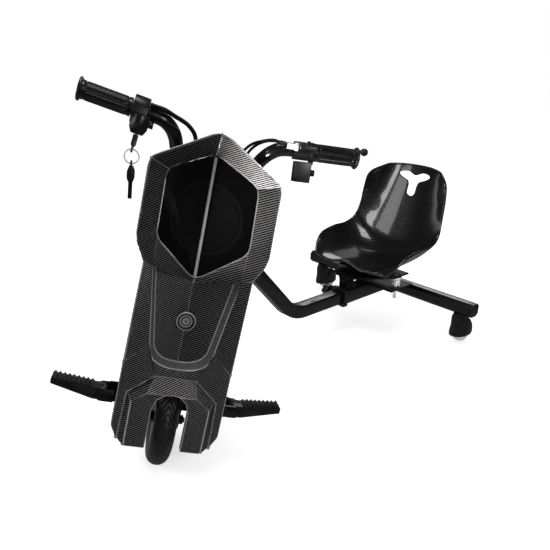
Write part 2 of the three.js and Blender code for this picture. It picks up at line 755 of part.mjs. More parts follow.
// The ring and the spare key hang nearly straight down in the world, so they are turned in the head
const plumb = Math.atan2(Math.sin(rake) * Math.sin(steer), Math.cos(rake));
const hang = plumb - THREE.MathUtils.degToRad(8);
const lean = Math.asin(Math.sin(rake) * Math.cos(steer));
const ringTop = headPoint(barPoint(-1, [lock.across, lock.reach, lockFoot - key.length + key.hole * 2]));

function hung(geometry) {
  geometry.rotateX(lean);
  geometry.rotateY(-hang);
  geometry.translate(ringTop.x, ringTop.y, ringTop.z);
  return geometry;
}

// The wire ring passes through the key's hole and the fob's hole
function keyRingGeometry() {
  const geometry = new THREE.TorusGeometry(keyRing.radius, keyRing.wire, 6, 24);
  geometry.rotateX(Math.PI / 2);
  geometry.translate(0, 0, -keyRing.radius);
  return hung(geometry);
}

function spareKeyGeometry() {
  const deep = spareKey.fobWidth / 2;
  const wide = spareKey.fobThickness / 2;
  const top = -keyRing.radius * 2 + key.hole + keyRing.wire + gap * 2;
  const foot = top - spareKey.fobLength;
  const neck = top - key.eyeHeight;
  const half = [
    [wide * 0.6, foot], [wide, foot + wide], [wide, neck - deep], [wide * 0.5, neck], [key.eye, neck], [key.eye, top],
  ];
  const outline = [...half, ...half.map(mirrored).reverse()];
  const fob = slab(outline, -deep, deep);
  const blade = block(
    [-spareKey.bladeWidth / 2, -spareKey.bladeThickness / 2, foot - spareKey.bladeLength],
    [spareKey.bladeWidth / 2, spareKey.bladeThickness / 2, foot + gap],
  );
  const hole = rod(key.hole, 'x', -overrun, overrun, [0, top - key.hole * 2], 16);
  const sides = [-1, 1].map((side) => {
    const near = side > 0 ? key.hole * 2 : -deep - overrun;
    const far = side > 0 ? deep + overrun : -key.hole * 2;
    return block([-wide - gap, near, neck], [wide + gap, far, top + gap]);
  });
  return hung(carve([fob, blade], [hole, ...sides]));
}

// Round button on the inner end of the throttle housing, whose shaft slides in the housing's bore
function modeKnobGeometry() {
  const from = -housing.inner + modeKnob.travel + gap;
  const head = rod(modeKnob.radius, 'x', from, from + modeKnob.length, modeLine, 20);
  const deep = -housing.inner - modeKnob.shaftLength + modeKnob.travel + gap;
  return onBar(-1, carve([head, rod(modeKnob.shaft, 'x', deep, from + gap, modeLine, 16)]));
}

function perchGeometry() {
  const from = perch.inner;
  const to = perch.inner + perch.width;
  const half = perch.size / 2;
  const [line, height] = barLine;
  const clamp = barAlong(perch.size, perch.size / 4, 'x', from, to, [line, height]);
  const armLow = [from, -lever.pivotReach - perch.arm / 2, lever.height - lever.thickness * 1.5 - gap];
  const arm = block(armLow, [to, line, armLow[2] + lever.thickness]);
  const wall = block([from, line - half, armLow[2]], [to, line, height]);
  const pin = rod(lever.pin, 'z', armLow[2] + gap, lever.height + lever.thickness, [lever.pivotAcross, -lever.pivotReach], 16);
  return onBar(1, carve([clamp, arm, wall, pin], [rod(bar.radius + gap, 'x', from - overrun, to + overrun, barLine, 24)]));
}

function leverGeometry() {
  const half = lever.blade / 2;
  const root = lever.pivotAcross;
  const knee = root + lever.blade * 2.4;
  const reach = lever.pivotReach;
  const low = lever.height - lever.thickness / 2;
  const shape = new THREE.Shape([
    [root - half, reach - half], [root + half, reach - half * 1.6], [knee, reach + half * 0.4], [lever.tip, reach + half * 0.6],
    [lever.tip, reach + half * 2], [knee, reach + half * 2.2], [root + half, reach + half], [root - half, reach + half],
  ].map(([x, n]) => new THREE.Vector2(x, -n)));
  const blade = new THREE.ExtrudeGeometry(shape, { depth: lever.thickness, bevelEnabled: false });
  blade.translate(0, 0, low);
  const ball = new THREE.SphereGeometry(lever.ball, 16, 10);
  ball.translate(lever.tip, -reach - half * 1.3, lever.height);
  const hole = rod(lever.hole, 'z', low - overrun, low + lever.thickness + overrun, [root, -reach], 16);
  return onBar(1, carve([blade, ball], [hole]));
}

const adjusterLine = [-adjuster.reach, adjuster.height];

// Barrel adjuster with a knurled nut, on the inner end of the lever bracket's arm
function adjusterGeometry() {
  const end = perch.inner - gap;
  const start = end - adjuster.length;
  return onBar(1, turned([
    [0, start], [adjuster.radius, start], [adjuster.radius, end - adjuster.nutWidth], [adjuster.nut, end - adjuster.nutWidth],
    [adjuster.nut, end], [0, end],
  ], 'x', [0, ...adjusterLine], 20));
}

const hornFace = switchBox.across + switchBox.width / 2;
const hornLine = [-bar.gripReach, (switchBox.top + switchBox.bottom) / 2];

// Switch box that hangs under the bar on a strap ring beside the lever bracket
function switchBoxGeometry() {
  const from = perch.inner + perch.width + gap;
  const to = grip.left - gap;
  const [line, height] = barLine;
  const strap = rod(bar.radius + fork.wall, 'x', from, to, barLine, 24);
  const box = block(
    [switchBox.across - switchBox.width / 2, line - switchBox.depth / 2, switchBox.bottom],
    [switchBox.across + switchBox.width / 2, line + switchBox.depth / 2, switchBox.top - gap],
  );
  const neck = block([from, line - switchBox.depth / 4, switchBox.top - overrun / 2], [to, line + switchBox.depth / 4, height]);
  return onBar(1, carve([strap, neck, box], [
    rod(bar.radius + gap, 'x', from - overrun, to + overrun, barLine, 24),
    block([perch.inner - overrun, line - perch.size, switchBox.top - gap], [from, line + perch.size, height + perch.size]),
    rod(hornButton.shaft + gap, 'x', hornFace - hornButton.shaftLength, hornFace + overrun, hornLine, 16),
  ]));
}

function hornButtonGeometry() {
  const from = hornFace + hornButton.travel + gap;
  const head = rod(hornButton.radius, 'x', from, from + hornButton.length - hornButton.travel, hornLine, 20);
  const deep = hornFace - hornButton.shaftLength + hornButton.travel + gap;
  return onBar(1, carve([head, rod(hornButton.shaft, 'x', deep, from + gap, hornLine, 16)]));
}

// Foot peg bracket: a plate on the fork's arm that runs outwards to two ears and the hinge pin
function pegBracketGeometry(side) {
  const near = fork.inside + fork.wall + gap;
  const front = -peg.reach - peg.depth / 2;
  const back = -peg.reach + peg.depth / 2;
  const armBack = -peg.reach + peg.bracket - gap;
  const eyeRadius = peg.root / 2;
  const added = [
    block([fork.inside, -peg.reach, peg.armBase], [peg.hinge - eyeRadius, armBack, peg.armTop]),
    block([near, armBack - gap, peg.armBase], [near + peg.bracket, 0, peg.armTop]),
  ];
  const web = peg.hinge - eyeRadius - peg.bracket - gap;
  added.push(block([web - peg.bracket, front - peg.ear, peg.height - eyeRadius], [web, back + peg.ear, peg.height + eyeRadius]));
  for (const from of [front - peg.ear, back + gap]) {
    const to = from + peg.ear - gap;
    added.push(rod(eyeRadius, 'y', from, to, [peg.hinge, peg.height], 20));
    added.push(block([web - gap, from, peg.height - eyeRadius], [peg.hinge, to, peg.height + eyeRadius]));
  }
  added.push(rod(peg.pin, 'y', front - peg.ear + gap, back + peg.ear - gap, [peg.hinge, peg.height], 16));
  return mirrorFor(side, carve(added));
}

// Folding peg: a tapered tread with teeth along its top, turning on the bracket's pin
function pegGeometry(side) {
  const front = -peg.reach - peg.depth / 2 + gap;
  const back = -peg.reach + peg.depth / 2 - gap;
  const start = peg.hinge + peg.root / 2 + peg.tooth;
  const end = peg.hinge + peg.length;
  const top = peg.height + peg.root / 2;
  const outline = [[peg.hinge, top], [start, top]];
  const pitch = (end - start) / peg.teeth;
  const rise = peg.rise / peg.teeth;
  for (let i = 0; i < peg.teeth; i += 1) {
    outline.push([start + (i + 0.5) * pitch, top + (i + 0.5) * rise + peg.tooth]);
    outline.push([start + (i + 1) * pitch, top + (i + 1) * rise]);
  }
  outline.push([end, top + peg.rise - peg.tip]);
  outline.push([start, peg.height - peg.root / 2]);
  outline.push([peg.hinge, peg.height - peg.root / 2]);
  const body = slab(outline.reverse(), front, back);
  const eye = rod(peg.root / 2, 'y', front, back, [peg.hinge, peg.height], 20);
  const hole = rod(peg.pin + gap, 'y', front - overrun, back + overrun, [peg.hinge, peg.height], 16);
  return mirrorFor(side, carve([body, eye], [hole]));
}

function mirrorFor(side, geometry) {
  if (side < 0) geometry.scale(-1, 1, 1);
  return geometry;
}

function cableGeometry(points, radius, steps) {
  const curve = new THREE.CatmullRomCurve3(points.map(headPoint), false, 'centripetal');
  return sweep(curve.getSpacedPoints(steps), roundOutline(radius, 8));
}

// The cables end against the controller's back
const plugReach = column.front - gap * 4;
const plugHeight = controller.base + controller.height - sheathRadius * 2;
// In front of the bar and behind the headlamp
const squeeze = column.front - gap * 2 - sheathRadius;

// From the adjuster, in behind the fairing's slope and down beside the column to the controller
const brakeCableRoute = [
  barPoint(1, [perch.inner - adjuster.length - gap * 3, -adjusterLine[0], adjusterLine[1]]),
  barPoint(1, [perch.inner - adjuster.length * 1.4, -adjusterLine[0], adjusterLine[1]]), [89, 84, 592], [72, 52, 587],
  [56, 26, 576], [43, 3, 552], [34, squeeze, 524], [30, squeeze, 500], [29, -15, 478], [28, -20, 450], [28, -20, 400],
  [28, -19, plugHeight + 9], [28, -14, plugHeight], [28, plugReach, plugHeight],
];
// From the lever bracket, beside the brake cable
const switchWireRoute = [
  barPoint(1, [perch.inner - gap * 3, bar.gripReach - 17, bar.gripHeight + 8]),
  barPoint(1, [118, bar.gripReach - 16, bar.gripHeight + 11]), [103, 44, 594], [84, 32, 590], [66, 14, 576], [53, -1, 550],
  [42, squeeze, 526], [37, squeeze, 500], [34, -18, 478], [30, -30, 450], [29, -31, 400], [30, -28, plugHeight - 6],
  [32, -16, plugHeight - 15], [32, plugReach, plugHeight - 15],
];
// From the throttle housing, along the bend of the bar and in behind the fairing
const throttleCableRoute = [
  barPoint(-1, [housing.inner - gap * 3, bar.gripReach + 11, bar.gripHeight + 14]),
  barPoint(-1, [124, bar.gripReach + 12, bar.gripHeight + 14]), [-108, 82, 596], [-88, 64, 591], [-62, 40, 583],
  [-45, 17, 568], [-37, -4, 540], [-32, squeeze, 516], [-30, squeeze, 500], [-30, -14, 480], [-30, -21, 450],
  [-30, -22, 400], [-30, -21, plugHeight + 11], [-30, -15, plugHeight], [-30, plugReach, plugHeight],
];

function headGroup() {
  const group = new THREE.Group();
  const add = (name, geometry, finishName) => group.add(piece(name, geometry, finishName));
  add('tyre', tyreGeometry(), 'rubber');
  add('hub_motor', hubGeometry(), 'satinBlack');
  const axleHalf = fork.inside + fork.wall + wheel.axle * 2;
  add('front_axle', rod(wheel.axle, 'x', -axleHalf, axleHalf, [0, 0], 24), 'zinc');
  for (const [name, side] of [['right_axle_nut', -1], ['left_axle_nut', 1]]) {
    const nut = hexNut(wheel.axle * 1.8, wheel.axle * 1.4, wheel.axle + gap);
    nut.translate(side * (fork.inside + fork.wall + gap + wheel.axle * 0.7), 0, 0);
    add(name, nut, 'zinc');
  }
  add('fork', forkGeometry(), 'satinBlack');
  add('chassis_column', columnGeometry(), 'satinBlack');
  add('steerer', steererGeometry(), 'satinBlack');
  add('lower_bearing', bearingGeometry(-1), 'zinc');
  add('upper_bearing', bearingGeometry(1), 'zinc');
  add('front_fairing', fairingGeometry(), 'carbon');
  add('lamp_panel', lampPanelGeometry(), 'glossBlack');
  add('panel_ridge', ridgeGeometry(), 'grey');
  add('headlamp', headlampGeometry(), 'grey');
  add('badge_boss', badgeGeometry(), 'satinBlack');
  add('front_mudguard', guardGeometry(), 'carbon');
  add('rear_cover', trayGeometry(), 'plastic');
  add('battery_pack', batteryGeometry(), 'plastic');
  add('motor_controller', controllerGeometry(), 'grey');
  add('handlebar', handlebarGeometry(), 'satinBlack');
  add('handlebar_clamp', clampGeometry(), 'satinBlack');
  add('throttle_grip', gripGeometry(-1), 'rubber');
  add('left_grip', gripGeometry(1), 'rubber');
  add('throttle_housing', housingGeometry(), 'plastic');
  add('ignition_lock', lockGeometry(), 'plastic');
  add('ignition_key', keyGeometry(), 'zinc');
  add('key_ring', keyRingGeometry(), 'zinc');
  add('spare_key', spareKeyGeometry(), 'plastic');
  add('mode_button', modeKnobGeometry(), 'plastic');
  add('brake_lever_bracket', perchGeometry(), 'plastic');
  add('brake_lever', leverGeometry(), 'satinBlack');
  add('cable_adjuster', adjusterGeometry(), 'zinc');
  add('switch_box', switchBoxGeometry(), 'plastic');
  add('horn_button', hornButtonGeometry(), 'plastic');
  for (const [name, side] of [['right', -1], ['left', 1]]) {
    add(`${name}_peg_bracket`, pegBracketGeometry(side), 'satinBlack');
    add(`${name}_foot_peg`, pegGeometry(side), 'plastic');
  }
  add('brake_cable', cableGeometry(brakeCableRoute, cableRadius, 32), 'rubber');
  add('brake_switch_wire', cableGeometry(switchWireRoute, cableRadius, 32), 'rubber');
  add('throttle_cable', cableGeometry(throttleCableRoute, sheathRadius, 32), 'rubber');
  group.position.set(0, -steeringTrail, 0);
  return group;
}

// Puts the head on the raked and turned steering axis, with its tyre just on the floor
function steeredHead() {
  const turn = new THREE.Group();
  turn.rotation.z = steer;
  turn.add(headGroup());
  const tilt = new THREE.Group();
  tilt.rotation.x = -rake;
  tilt.add(turn);
  tilt.updateMatrixWorld(true);
  const tyre = tilt.getObjectByName('tyre');
  const place = tyre.geometry.attributes.position;
  const vertex = new THREE.Vector3();
  let lowest = Infinity;
  for (let i = 0; i < place.count; i += 1) {
    lowest = Math.min(lowest, vertex.fromBufferAttribute(place, i).applyMatrix4(tyre.matrixWorld).z);
  }
  tilt.position.z = -lowest;
  return tilt;
}

const head = steeredHead();
const axisFoot = head.position.z;

function squareOutline(size, chamfer) {
  return tubeSection(size, chamfer).getPoints().map((point) => [point.x, point.y]);
}

// Bent square tube from the head tube down and back into the sleeve
function neckGeometry() {
  const along = headTube.centre;
  const top = new THREE.Vector3(0, along * Math.sin(rake), axisFoot + along * Math.cos(rake));
  const corner = new THREE.Vector3(0, tube.corner, tube.height);
  const end = new THREE.Vector3(0, tube.end, tube.height);
  const slope = corner.clone().sub(top).normalize();
  const before = corner.clone().addScaledVector(slope, -tube.bend);
  const after = new THREE.Vector3(0, tube.corner + tube.bend, tube.height);
  const bend = new THREE.QuadraticBezierCurve3(before, corner, after).getPoints(8);
  const body = sweep([top, ...bend, end], squareOutline(tube.size, tube.chamfer));
  const onAxis = (geometry) => geometry.rotateX(-rake).translate(0, 0, axisFoot);
  const shell = onAxis(rod(headTube.radius, 'z', along - headTubeHalf, along + headTubeHalf, [0, 0], 32));
  const bore = onAxis(rod(headTube.bore, 'z', along - headTubeHalf * 2, along + headTubeHalf * 2, [0, 0], 32));
  const trim = headTubeHalf + overrun * 2;
  const above = onAxis(rod(tube.size, 'z', along + headTubeHalf, along + trim, [0, 0], 32));
  const below = onAxis(rod(tube.size, 'z', along - trim, along - headTubeHalf, [0, 0], 32));
  return carve([body, shell], [bore, above, below]);
}

const sleeveInside = tube.size + runningGap * 2;
const sleeveEnd = crossbar.place - crossbar.size / 2 - gap;

function sleeveGeometry() {
  const centre = [0, tube.height];
  const outer = barAlong(sleeve.size, tube.chamfer, 'y', sleeve.start, sleeveEnd, centre);
  const collar = barAlong(sleeve.collar, tube.chamfer, 'y', sleeve.start - sleeve.collarLength, sleeve.start, centre);
  const knobPlace = sleeve.start + sleeve.knobBack;
  const bossEnd = -sleeve.size / 2 - sleeve.bossLength;
  const boss = rod(sleeve.boss, 'x', bossEnd, -sleeveInside / 2, [knobPlace, tube.height], 24);
  const inside = barAlong(sleeveInside, tube.chamfer, 'y', sleeve.start - sleeve.collarLength - overrun, sleeveEnd + overrun, centre);
  const hole = rod(knob.shank + gap, 'x', bossEnd - overrun, -sleeveInside / 2 + gap, [knobPlace, tube.height], 16);
  return carve([outer, collar, boss], [inside, hole]);
}

function knobGeometry() {
  const inner = -sleeve.size / 2 - sleeve.bossLength - knob.gap;
  const steps = 48;
  const outline = [];
  for (let i = 0; i < steps; i += 1) {
    const angle = (i / steps) * 2 * Math.PI;
    const radius = knob.radius * (1 - knob.lobeShare * 0.5 * (1 - Math.cos(knob.lobes * angle)));
    outline.push([radius * Math.cos(angle), radius * Math.sin(angle)]);
  }
  const line = [sleeve.start + sleeve.knobBack, tube.height];
  const head = sidePlate(outline, inner - knob.thickness, inner);
  head.translate(0, line[0], line[1]);
  const shank = rod(knob.shank, 'x', inner - gap, -tube.size / 2 - gap, line, 16);
  return carve([head, shank]);
}

function crossbarGeometry() {
  const bar2 = barAlong(crossbar.size, crossbar.chamfer, 'x', -crossbar.half, crossbar.half, [crossbar.place, tube.height]);
  const removed = [];
  const base = tube.height - crossbar.size / 2;
  for (const side of [-1, 1]) {
    const across = side * caster.across;
    removed.push(rod(caster.stem + gap, 'z', base - overrun, base + caster.stemDepth, [across, crossbar.place], 20));
    const socket = barAlong(
      crossbar.size - crossbar.capWall * 2, crossbar.chamfer - crossbar.capWall, 'x',
      crossbar.half - crossbar.capInset, crossbar.half + overrun, [crossbar.place, tube.height],
    );
    removed.push(mirrorFor(side, socket));
  }
  return carve([bar2], removed);
}

function endCapGeometry(side) {
  const centre = [crossbar.place, tube.height];
  const face = crossbar.half + gap;
  const plug = barAlong(
    crossbar.size - (crossbar.capWall + gap) * 2, crossbar.chamfer - crossbar.capWall, 'x',
    face - crossbar.capInset, face + crossbar.cap / 2, centre,
  );
  const cap = barAlong(crossbar.size, crossbar.chamfer, 'x', face, face + crossbar.cap, centre);
  return mirrorFor(side, carve([plug, cap]));
}

const plateBase = tube.height + sleeve.size / 2 + gap;
const plateTop = plateBase + basePlate.thickness;

function basePlateGeometry() {
  const back = sleeveEnd;
  const plate = block([-basePlate.half, basePlate.front, plateBase], [basePlate.half, back, plateTop]);
  const holes = [-1, 1].map((side) => rod(basePlate.hole, 'z', plateBase - overrun, plateTop + overrun, [
    side * spring.across, spring.place,
  ], 24));
  return carve([plate], holes);
}

// Ribbed hinge post on the sleeve, with the seat's hinge pin through its top
function postGeometry() {
  const half = post.width / 2;
  const back = post.front + post.depth;
  const top = post.pinHeight;
  const line = [post.front + post.depth / 2, top];
  const added = [
    block([-half, post.front, plateBase], [half, back, top]),
    rod(post.eye, 'x', -half, half, line, 24),
    rod(post.pin, 'x', -half - seatPlate.lug * 2, half + seatPlate.lug * 2, line, 20),
  ];
  const pitch = post.width / post.ribs;
  for (let i = 0; i < post.ribs; i += 1) {
    const centre = -half + (i + 0.5) * pitch;
    added.push(block([centre - post.rib / 2, post.front - post.rib, plateBase], [centre + post.rib / 2, post.front + gap, top - post.eye]));
  }
  return carve(added);
}

// Level plate with the same outline on both sides of the middle
function floorPlate(half, low, high) {
  const outline = [...half, ...half.map(mirrored).reverse()];
  const shape = new THREE.Shape(outline.map(([x, y]) => new THREE.Vector2(x, y)));
  return new THREE.ExtrudeGeometry(shape, { depth: high - low, bevelEnabled: false }).translate(0, 0, low);
}

// Seat plate: narrow at its hinge lugs, wide over the springs, with a pad under the seat
function seatPlateGeometry() {
  const low = seatPlate.top - seatPlate.thickness;
  const place = post.front + post.depth / 2;
  const half = post.width / 2 + runningGap;
  const seatFoot = Math.min(...seat.middle.map(([, height]) => height)) - seat.wall - gap;
  const added = [
    floorPlate([
      [seatPlate.nose, seatPlate.front], [seatPlate.half, seatPlate.taper], [seatPlate.half, seatPlate.back],
    ], low, seatPlate.top),
    block(
      [-seatPlate.pad, spring.place - seatPlate.pad / 2, low],
      [seatPlate.pad, spring.place + seatPlate.pad / 2, seatFoot],
    ),
  ];
  for (const side of [-1, 1]) {
    const near = side > 0 ? half : -half - seatPlate.lug;
    added.push(rod(post.eye, 'x', near, near + seatPlate.lug, [place, post.pinHeight], 24));
    added.push(block([near, place - post.eye, post.pinHeight], [near + seatPlate.lug, place + post.eye, seatPlate.top - gap]));
  }
  const bore = rod(post.pin + gap, 'x', -half - overrun * 2, half + overrun * 2, [place, post.pinHeight], 20);
  const eyeRoom = rod(post.eye + runningGap, 'x', -half, half, [place, post.pinHeight], 24);
  const holes = [-1, 1].map((side) => rod(bolt.radius + gap, 'z', low - overrun, seatPlate.top + overrun, [
    side * spring.across, spring.place,
  ], 20));
  return carve(added, [bore, eyeRoom, ...holes]);
}

// Compression spring: one unbroken wire, whose turns close up at both ends
function springPoints() {
  const low = plateTop + gap + spring.wire;
  const high = seatPlate.top - seatPlate.thickness - gap - spring.wire - bolt.cupHeight - gap;
  const turns = spring.coils + spring.ends * 2;
  const steps = Math.round(turns * 8);
  const endRise = spring.wire * 2 + gap * 2;
  const radius = spring.radius - spring.wire;
  const points = [];
  for (let i = 0; i <= steps; i += 1) {
    const turnsDone = (i / steps) * turns;
    const fromEnd = Math.min(turnsDone, turns - turnsDone);
    const endShare = Math.min(fromEnd / spring.ends, 1);
    const middleShare = (turnsDone - spring.ends) / spring.coils;
    const middle = THREE.MathUtils.clamp(middleShare, 0, 1) * (high - low - endRise * 2);
    const lift = turnsDone < turns / 2 ? endRise * endShare : endRise * (2 - endShare);
    const angle = turnsDone * 2 * Math.PI;
    points.push(new THREE.Vector3(radius * Math.cos(angle), radius * Math.sin(angle), low + middle + lift));
  }
  return points;
}

// Least gap between turns, taken between points that lie more than half a turn apart
function leastGap(points, radius) {
  let least = Infinity;
  for (let i = 0; i < points.length; i += 1) {
    for (let j = i + 5; j < points.length; j += 1) least = Math.min(least, points[i].distanceTo(points[j]) - radius * 2);
  }
  return least;
}

function springGeometry(side) {
  const points = springPoints();
  return sweep(points, roundOutline(spring.wire, 5)).translate(side * spring.across, spring.place, 0);
}

// Seat bolt: head and cup under the seat plate, shank down through the base plate, nut below it
function boltGeometry(side) {
  const low = seatPlate.top - seatPlate.thickness;
  const nutTop = plateBase - gap;
  const profile = [
    [0, bolt.tail], [bolt.radius, bolt.tail], [bolt.radius, nutTop - bolt.nutHeight], [bolt.nut, nutTop - bolt.nutHeight],
    [bolt.cup, nutTop - bolt.cupHeight / 2], [bolt.cup, nutTop], [bolt.radius, nutTop],
    [bolt.radius, low - gap - bolt.cupHeight], [bolt.cup, low - gap - bolt.cupHeight], [bolt.cup, low - gap],
    [bolt.radius, low - gap], [bolt.radius, seatPlate.top - gap], [0, seatPlate.top - gap],
  ];
  return turned(profile, 'z', [side * spring.across, spring.place, 0], 24);
}

// Point of the seat's upper surface; share runs -1 to 1 across and station along the list
function seatPoint(share, station) {
  const count = seat.middle.length - 1;
  const low = Math.min(Math.floor(station), count - 1);
  const part = station - low;
  const between = (a, b) => a + (b - a) * part;
  const middle = [0, 1].map((axis) => between(seat.middle[low][axis], seat.middle[low + 1][axis]));
  const rim = [0, 1, 2].map((axis) => between(seat.rim[low][axis], seat.rim[low + 1][axis]));
  const away = Math.abs(share);
  const blend = away ** seat.wrap;
  const front = Math.max(0, 1 - station / 4);
  const scoop = seat.rise * front * Math.sin(Math.PI * Math.min(1, away / seat.scoop) / 2) ** 2 * (1 - blend);
  return new THREE.Vector3(
    share * rim[0],
    middle[0] + (rim[1] - middle[0]) * blend,
    middle[1] + (rim[2] - middle[1]) * blend - scoop,
  );
}

function seatShellGrid() {
  const rows = seat.middle.length;
  const columns = seat.columns + 1;
  const upper = [];
  for (let row = 0; row < rows; row += 1) {
    for (let i = 0; i < columns; i += 1) upper.push(seatPoint(-1 + (2 * i) / seat.columns, row));
  }
  const at = (row, i) => upper[THREE.MathUtils.clamp(row, 0, rows - 1) * columns + THREE.MathUtils.clamp(i, 0, columns - 1)];
  const lower = upper.map((point, number) => {
    const row = Math.floor(number / columns);
    const i = number % columns;
    const across = at(row, i + 1).clone().sub(at(row, i - 1));
    const along = at(row + 1, i).clone().sub(at(row - 1, i));
    const normal = across.cross(along).normalize();
    return point.clone().addScaledVector(normal, -seat.wall);
  });
  return { upper, lower, rows, columns };
}

function seatShellGeometry() {
  const { upper, lower, rows, columns } = seatShellGrid();
  const positions = [];
  for (const point of [...upper, ...lower]) positions.push(point.x, point.y, point.z);
  const count = upper.length;
  const index = [];
  const quad = (a, b, c, d) => index.push(a, b, c, a, c, d);
  for (let row = 0; row < rows - 1; row += 1) {
    for (let i = 0; i < columns - 1; i += 1) {
      const a = row * columns + i;
      quad(a, a + 1, a + columns + 1, a + columns);
      quad(a + count, a + columns + count, a + columns + 1 + count, a + 1 + count);
    }
  }
  for (let i = 0; i < columns - 1; i += 1) {
    const top = (rows - 1) * columns + i;
    quad(i, i + count, i + 1 + count, i + 1);
    quad(top, top + 1, top + 1 + count, top + count);
  }
  for (let row = 0; row < rows - 1; row += 1) {
    const left = row * columns;
    const right = left + columns - 1;
    quad(left, left + columns, left + columns + count, left + count);
    quad(right, right + count, right + columns + count, right + columns);
  }
  const geometry = new THREE.BufferGeometry();
  geometry.setAttribute('position', new THREE.Float32BufferAttribute(positions, 3));
  geometry.setIndex(index);
  return carve([geometry], [cutOutGeometry()]);
}

// The seat back's opening: two arms that reach out and up, over a short stem
function cutOutGeometry() {
  const { half, arm, stem, foot, height, notch } = cutOut;
  const side = stem / 2;
  const outline = [
    [-side, foot + side], [0, foot], [side, foot + side], [side, height - arm * 1.4], [half * 0.55, height - arm * 0.5],
    [half, height], [half * 0.86, height + arm * 0.6], [notch, height + arm * 0.5], [side * 0.8, height - arm * 0.1],
    [-side * 0.8, height - arm * 0.1], [-notch, height + arm * 0.5], [-half * 0.86, height + arm * 0.6], [-half, height],
    [-half * 0.55, height - arm * 0.5], [-side, height - arm * 1.4],
  ];
  const place = seat.middle[seat.middle.length - 2][0];
  return slab(outline, place - cutOut.depth, place + cutOut.depth);
}

// Caster hood: round cover over the wheel, with a neck up to the stem and the axle through it
function hoodGeometry() {
  const stemTop = tube.height - crossbar.size / 2 + caster.stemDepth - gap * 2;
  const plateTopHeight = tube.height - crossbar.size / 2 - gap;
  const axleLine = [caster.trail, caster.radius];
  const half = hood.width / 2;
  const added = [
    rod(hood.radius, 'x', -half, half, axleLine, 32),
    turned([
      [0, caster.radius], [hood.neck + gap, caster.radius], [hood.neck, plateTopHeight - hood.plate], [hood.plate, plateTopHeight],
      [caster.stem, plateTopHeight], [caster.stem, stemTop], [0, stemTop],
    ], 'z', [0, hood.cheek, 0], 24).translate(0, -hood.cheek, 0),
  ];
  const inside = half - hood.cheek;
  const removed = [
    rod(hood.inner, 'x', -inside, inside, axleLine, 32),
    block([-half - overrun, -hood.radius - overrun, -overrun], [half + overrun, caster.trail + hood.radius + overrun, hood.opening]),
  ];
  const cheeks = [];
  for (const side of [-1, 1]) {
    const from = side > 0 ? inside : -half - hood.discWidth;
    const to = side > 0 ? half + hood.discWidth : -inside;
    cheeks.push(rod(hood.disc, 'x', from, to, axleLine, 28));
  }
  const axle = rod(caster.axle, 'x', -half, half, axleLine, 16);
  return carve([carve(added, removed), ...cheeks, axle]);
}

function casterWheelGeometry() {
  const half = caster.width / 2;
  const bore = caster.axle + gap;
  const edge = caster.radius - half * 0.3;
  return turned([
    [bore, -half], [edge, -half], [caster.radius, -half * 0.6], [caster.radius, half * 0.6], [edge, half], [bore, half], [bore, -half],
  ], 'x', [0, caster.trail, caster.radius], 32);
}

function rearGroup() {
  const group = new THREE.Group();
  const add = (name, geometry, finishName) => group.add(piece(name, geometry, finishName));
  add('neck_tube', neckGeometry(), 'satinBlack');
  add('rear_sleeve', sleeveGeometry(), 'satinBlack');
  add('clamp_knob', knobGeometry(), 'plastic');
  add('crossbar', crossbarGeometry(), 'satinBlack');
  add('seat_base_plate', basePlateGeometry(), 'satinBlack');
  add('seat_hinge_post', postGeometry(), 'satinBlack');
  add('seat_plate', seatPlateGeometry(), 'satinBlack');
  add('bucket_seat', seatShellGeometry(), 'carbon');
  for (const [name, side] of [['right', -1], ['left', 1]]) {
    add(`${name}_end_cap`, endCapGeometry(side), 'plastic');
    add(`${name}_seat_spring`, springGeometry(side), 'zinc');
    add(`${name}_seat_bolt`, boltGeometry(side), 'zinc');
    const casterGroup = new THREE.Group();
    casterGroup.position.set(side * caster.across, crossbar.place, 0);
    casterGroup.add(piece(`${name}_caster_hood`, hoodGeometry(), 'plastic'));
    casterGroup.add(piece(`${name}_caster_wheel`, casterWheelGeometry(), 'white'));
    group.add(casterGroup);
  }
  return group;
}

console.log(`least gap between the seat spring's turns: ${leastGap(springPoints(), spring.wire).toFixed(2)} mm`);

const trike = new THREE.Group();
trike.add(head);
trike.add(rearGroup());

// The origin lies on the floor, under the middle of the whole trike
const bounds = new THREE.Box3().setFromObject(trike, true);
const middle = bounds.getCenter(new THREE.Vector3());
trike.position.set(-middle.x, -middle.y, 0);

export default trike;
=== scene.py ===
# Drift trike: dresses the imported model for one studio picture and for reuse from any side.
# Lengths are millimetres, and spot functions turn them into metres in the model's frame; the studio's are metres.
import json
import math
import bmesh
import bpy
import numpy as np
from mathutils import Matrix, Vector


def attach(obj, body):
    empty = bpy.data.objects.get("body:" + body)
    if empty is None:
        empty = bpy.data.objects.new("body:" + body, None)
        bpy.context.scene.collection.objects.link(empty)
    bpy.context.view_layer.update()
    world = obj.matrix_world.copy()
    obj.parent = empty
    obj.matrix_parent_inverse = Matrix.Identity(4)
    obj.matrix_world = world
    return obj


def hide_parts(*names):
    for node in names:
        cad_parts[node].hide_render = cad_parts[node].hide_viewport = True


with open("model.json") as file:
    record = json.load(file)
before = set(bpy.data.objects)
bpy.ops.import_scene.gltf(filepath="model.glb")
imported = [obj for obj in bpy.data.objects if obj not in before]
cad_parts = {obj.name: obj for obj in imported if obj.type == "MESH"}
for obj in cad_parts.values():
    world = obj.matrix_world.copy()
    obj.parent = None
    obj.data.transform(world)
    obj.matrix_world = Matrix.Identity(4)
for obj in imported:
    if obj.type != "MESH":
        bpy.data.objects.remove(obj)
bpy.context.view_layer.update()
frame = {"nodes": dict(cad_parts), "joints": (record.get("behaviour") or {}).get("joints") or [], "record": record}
scene = bpy.context.scene
record = frame["record"]
jointOf = {joint["name"]: joint for joint in frame["joints"]}
bodyOf = {node: body for body, nodes in record["behaviour"]["bodies"].items() for node in nodes}
mm = 0.001

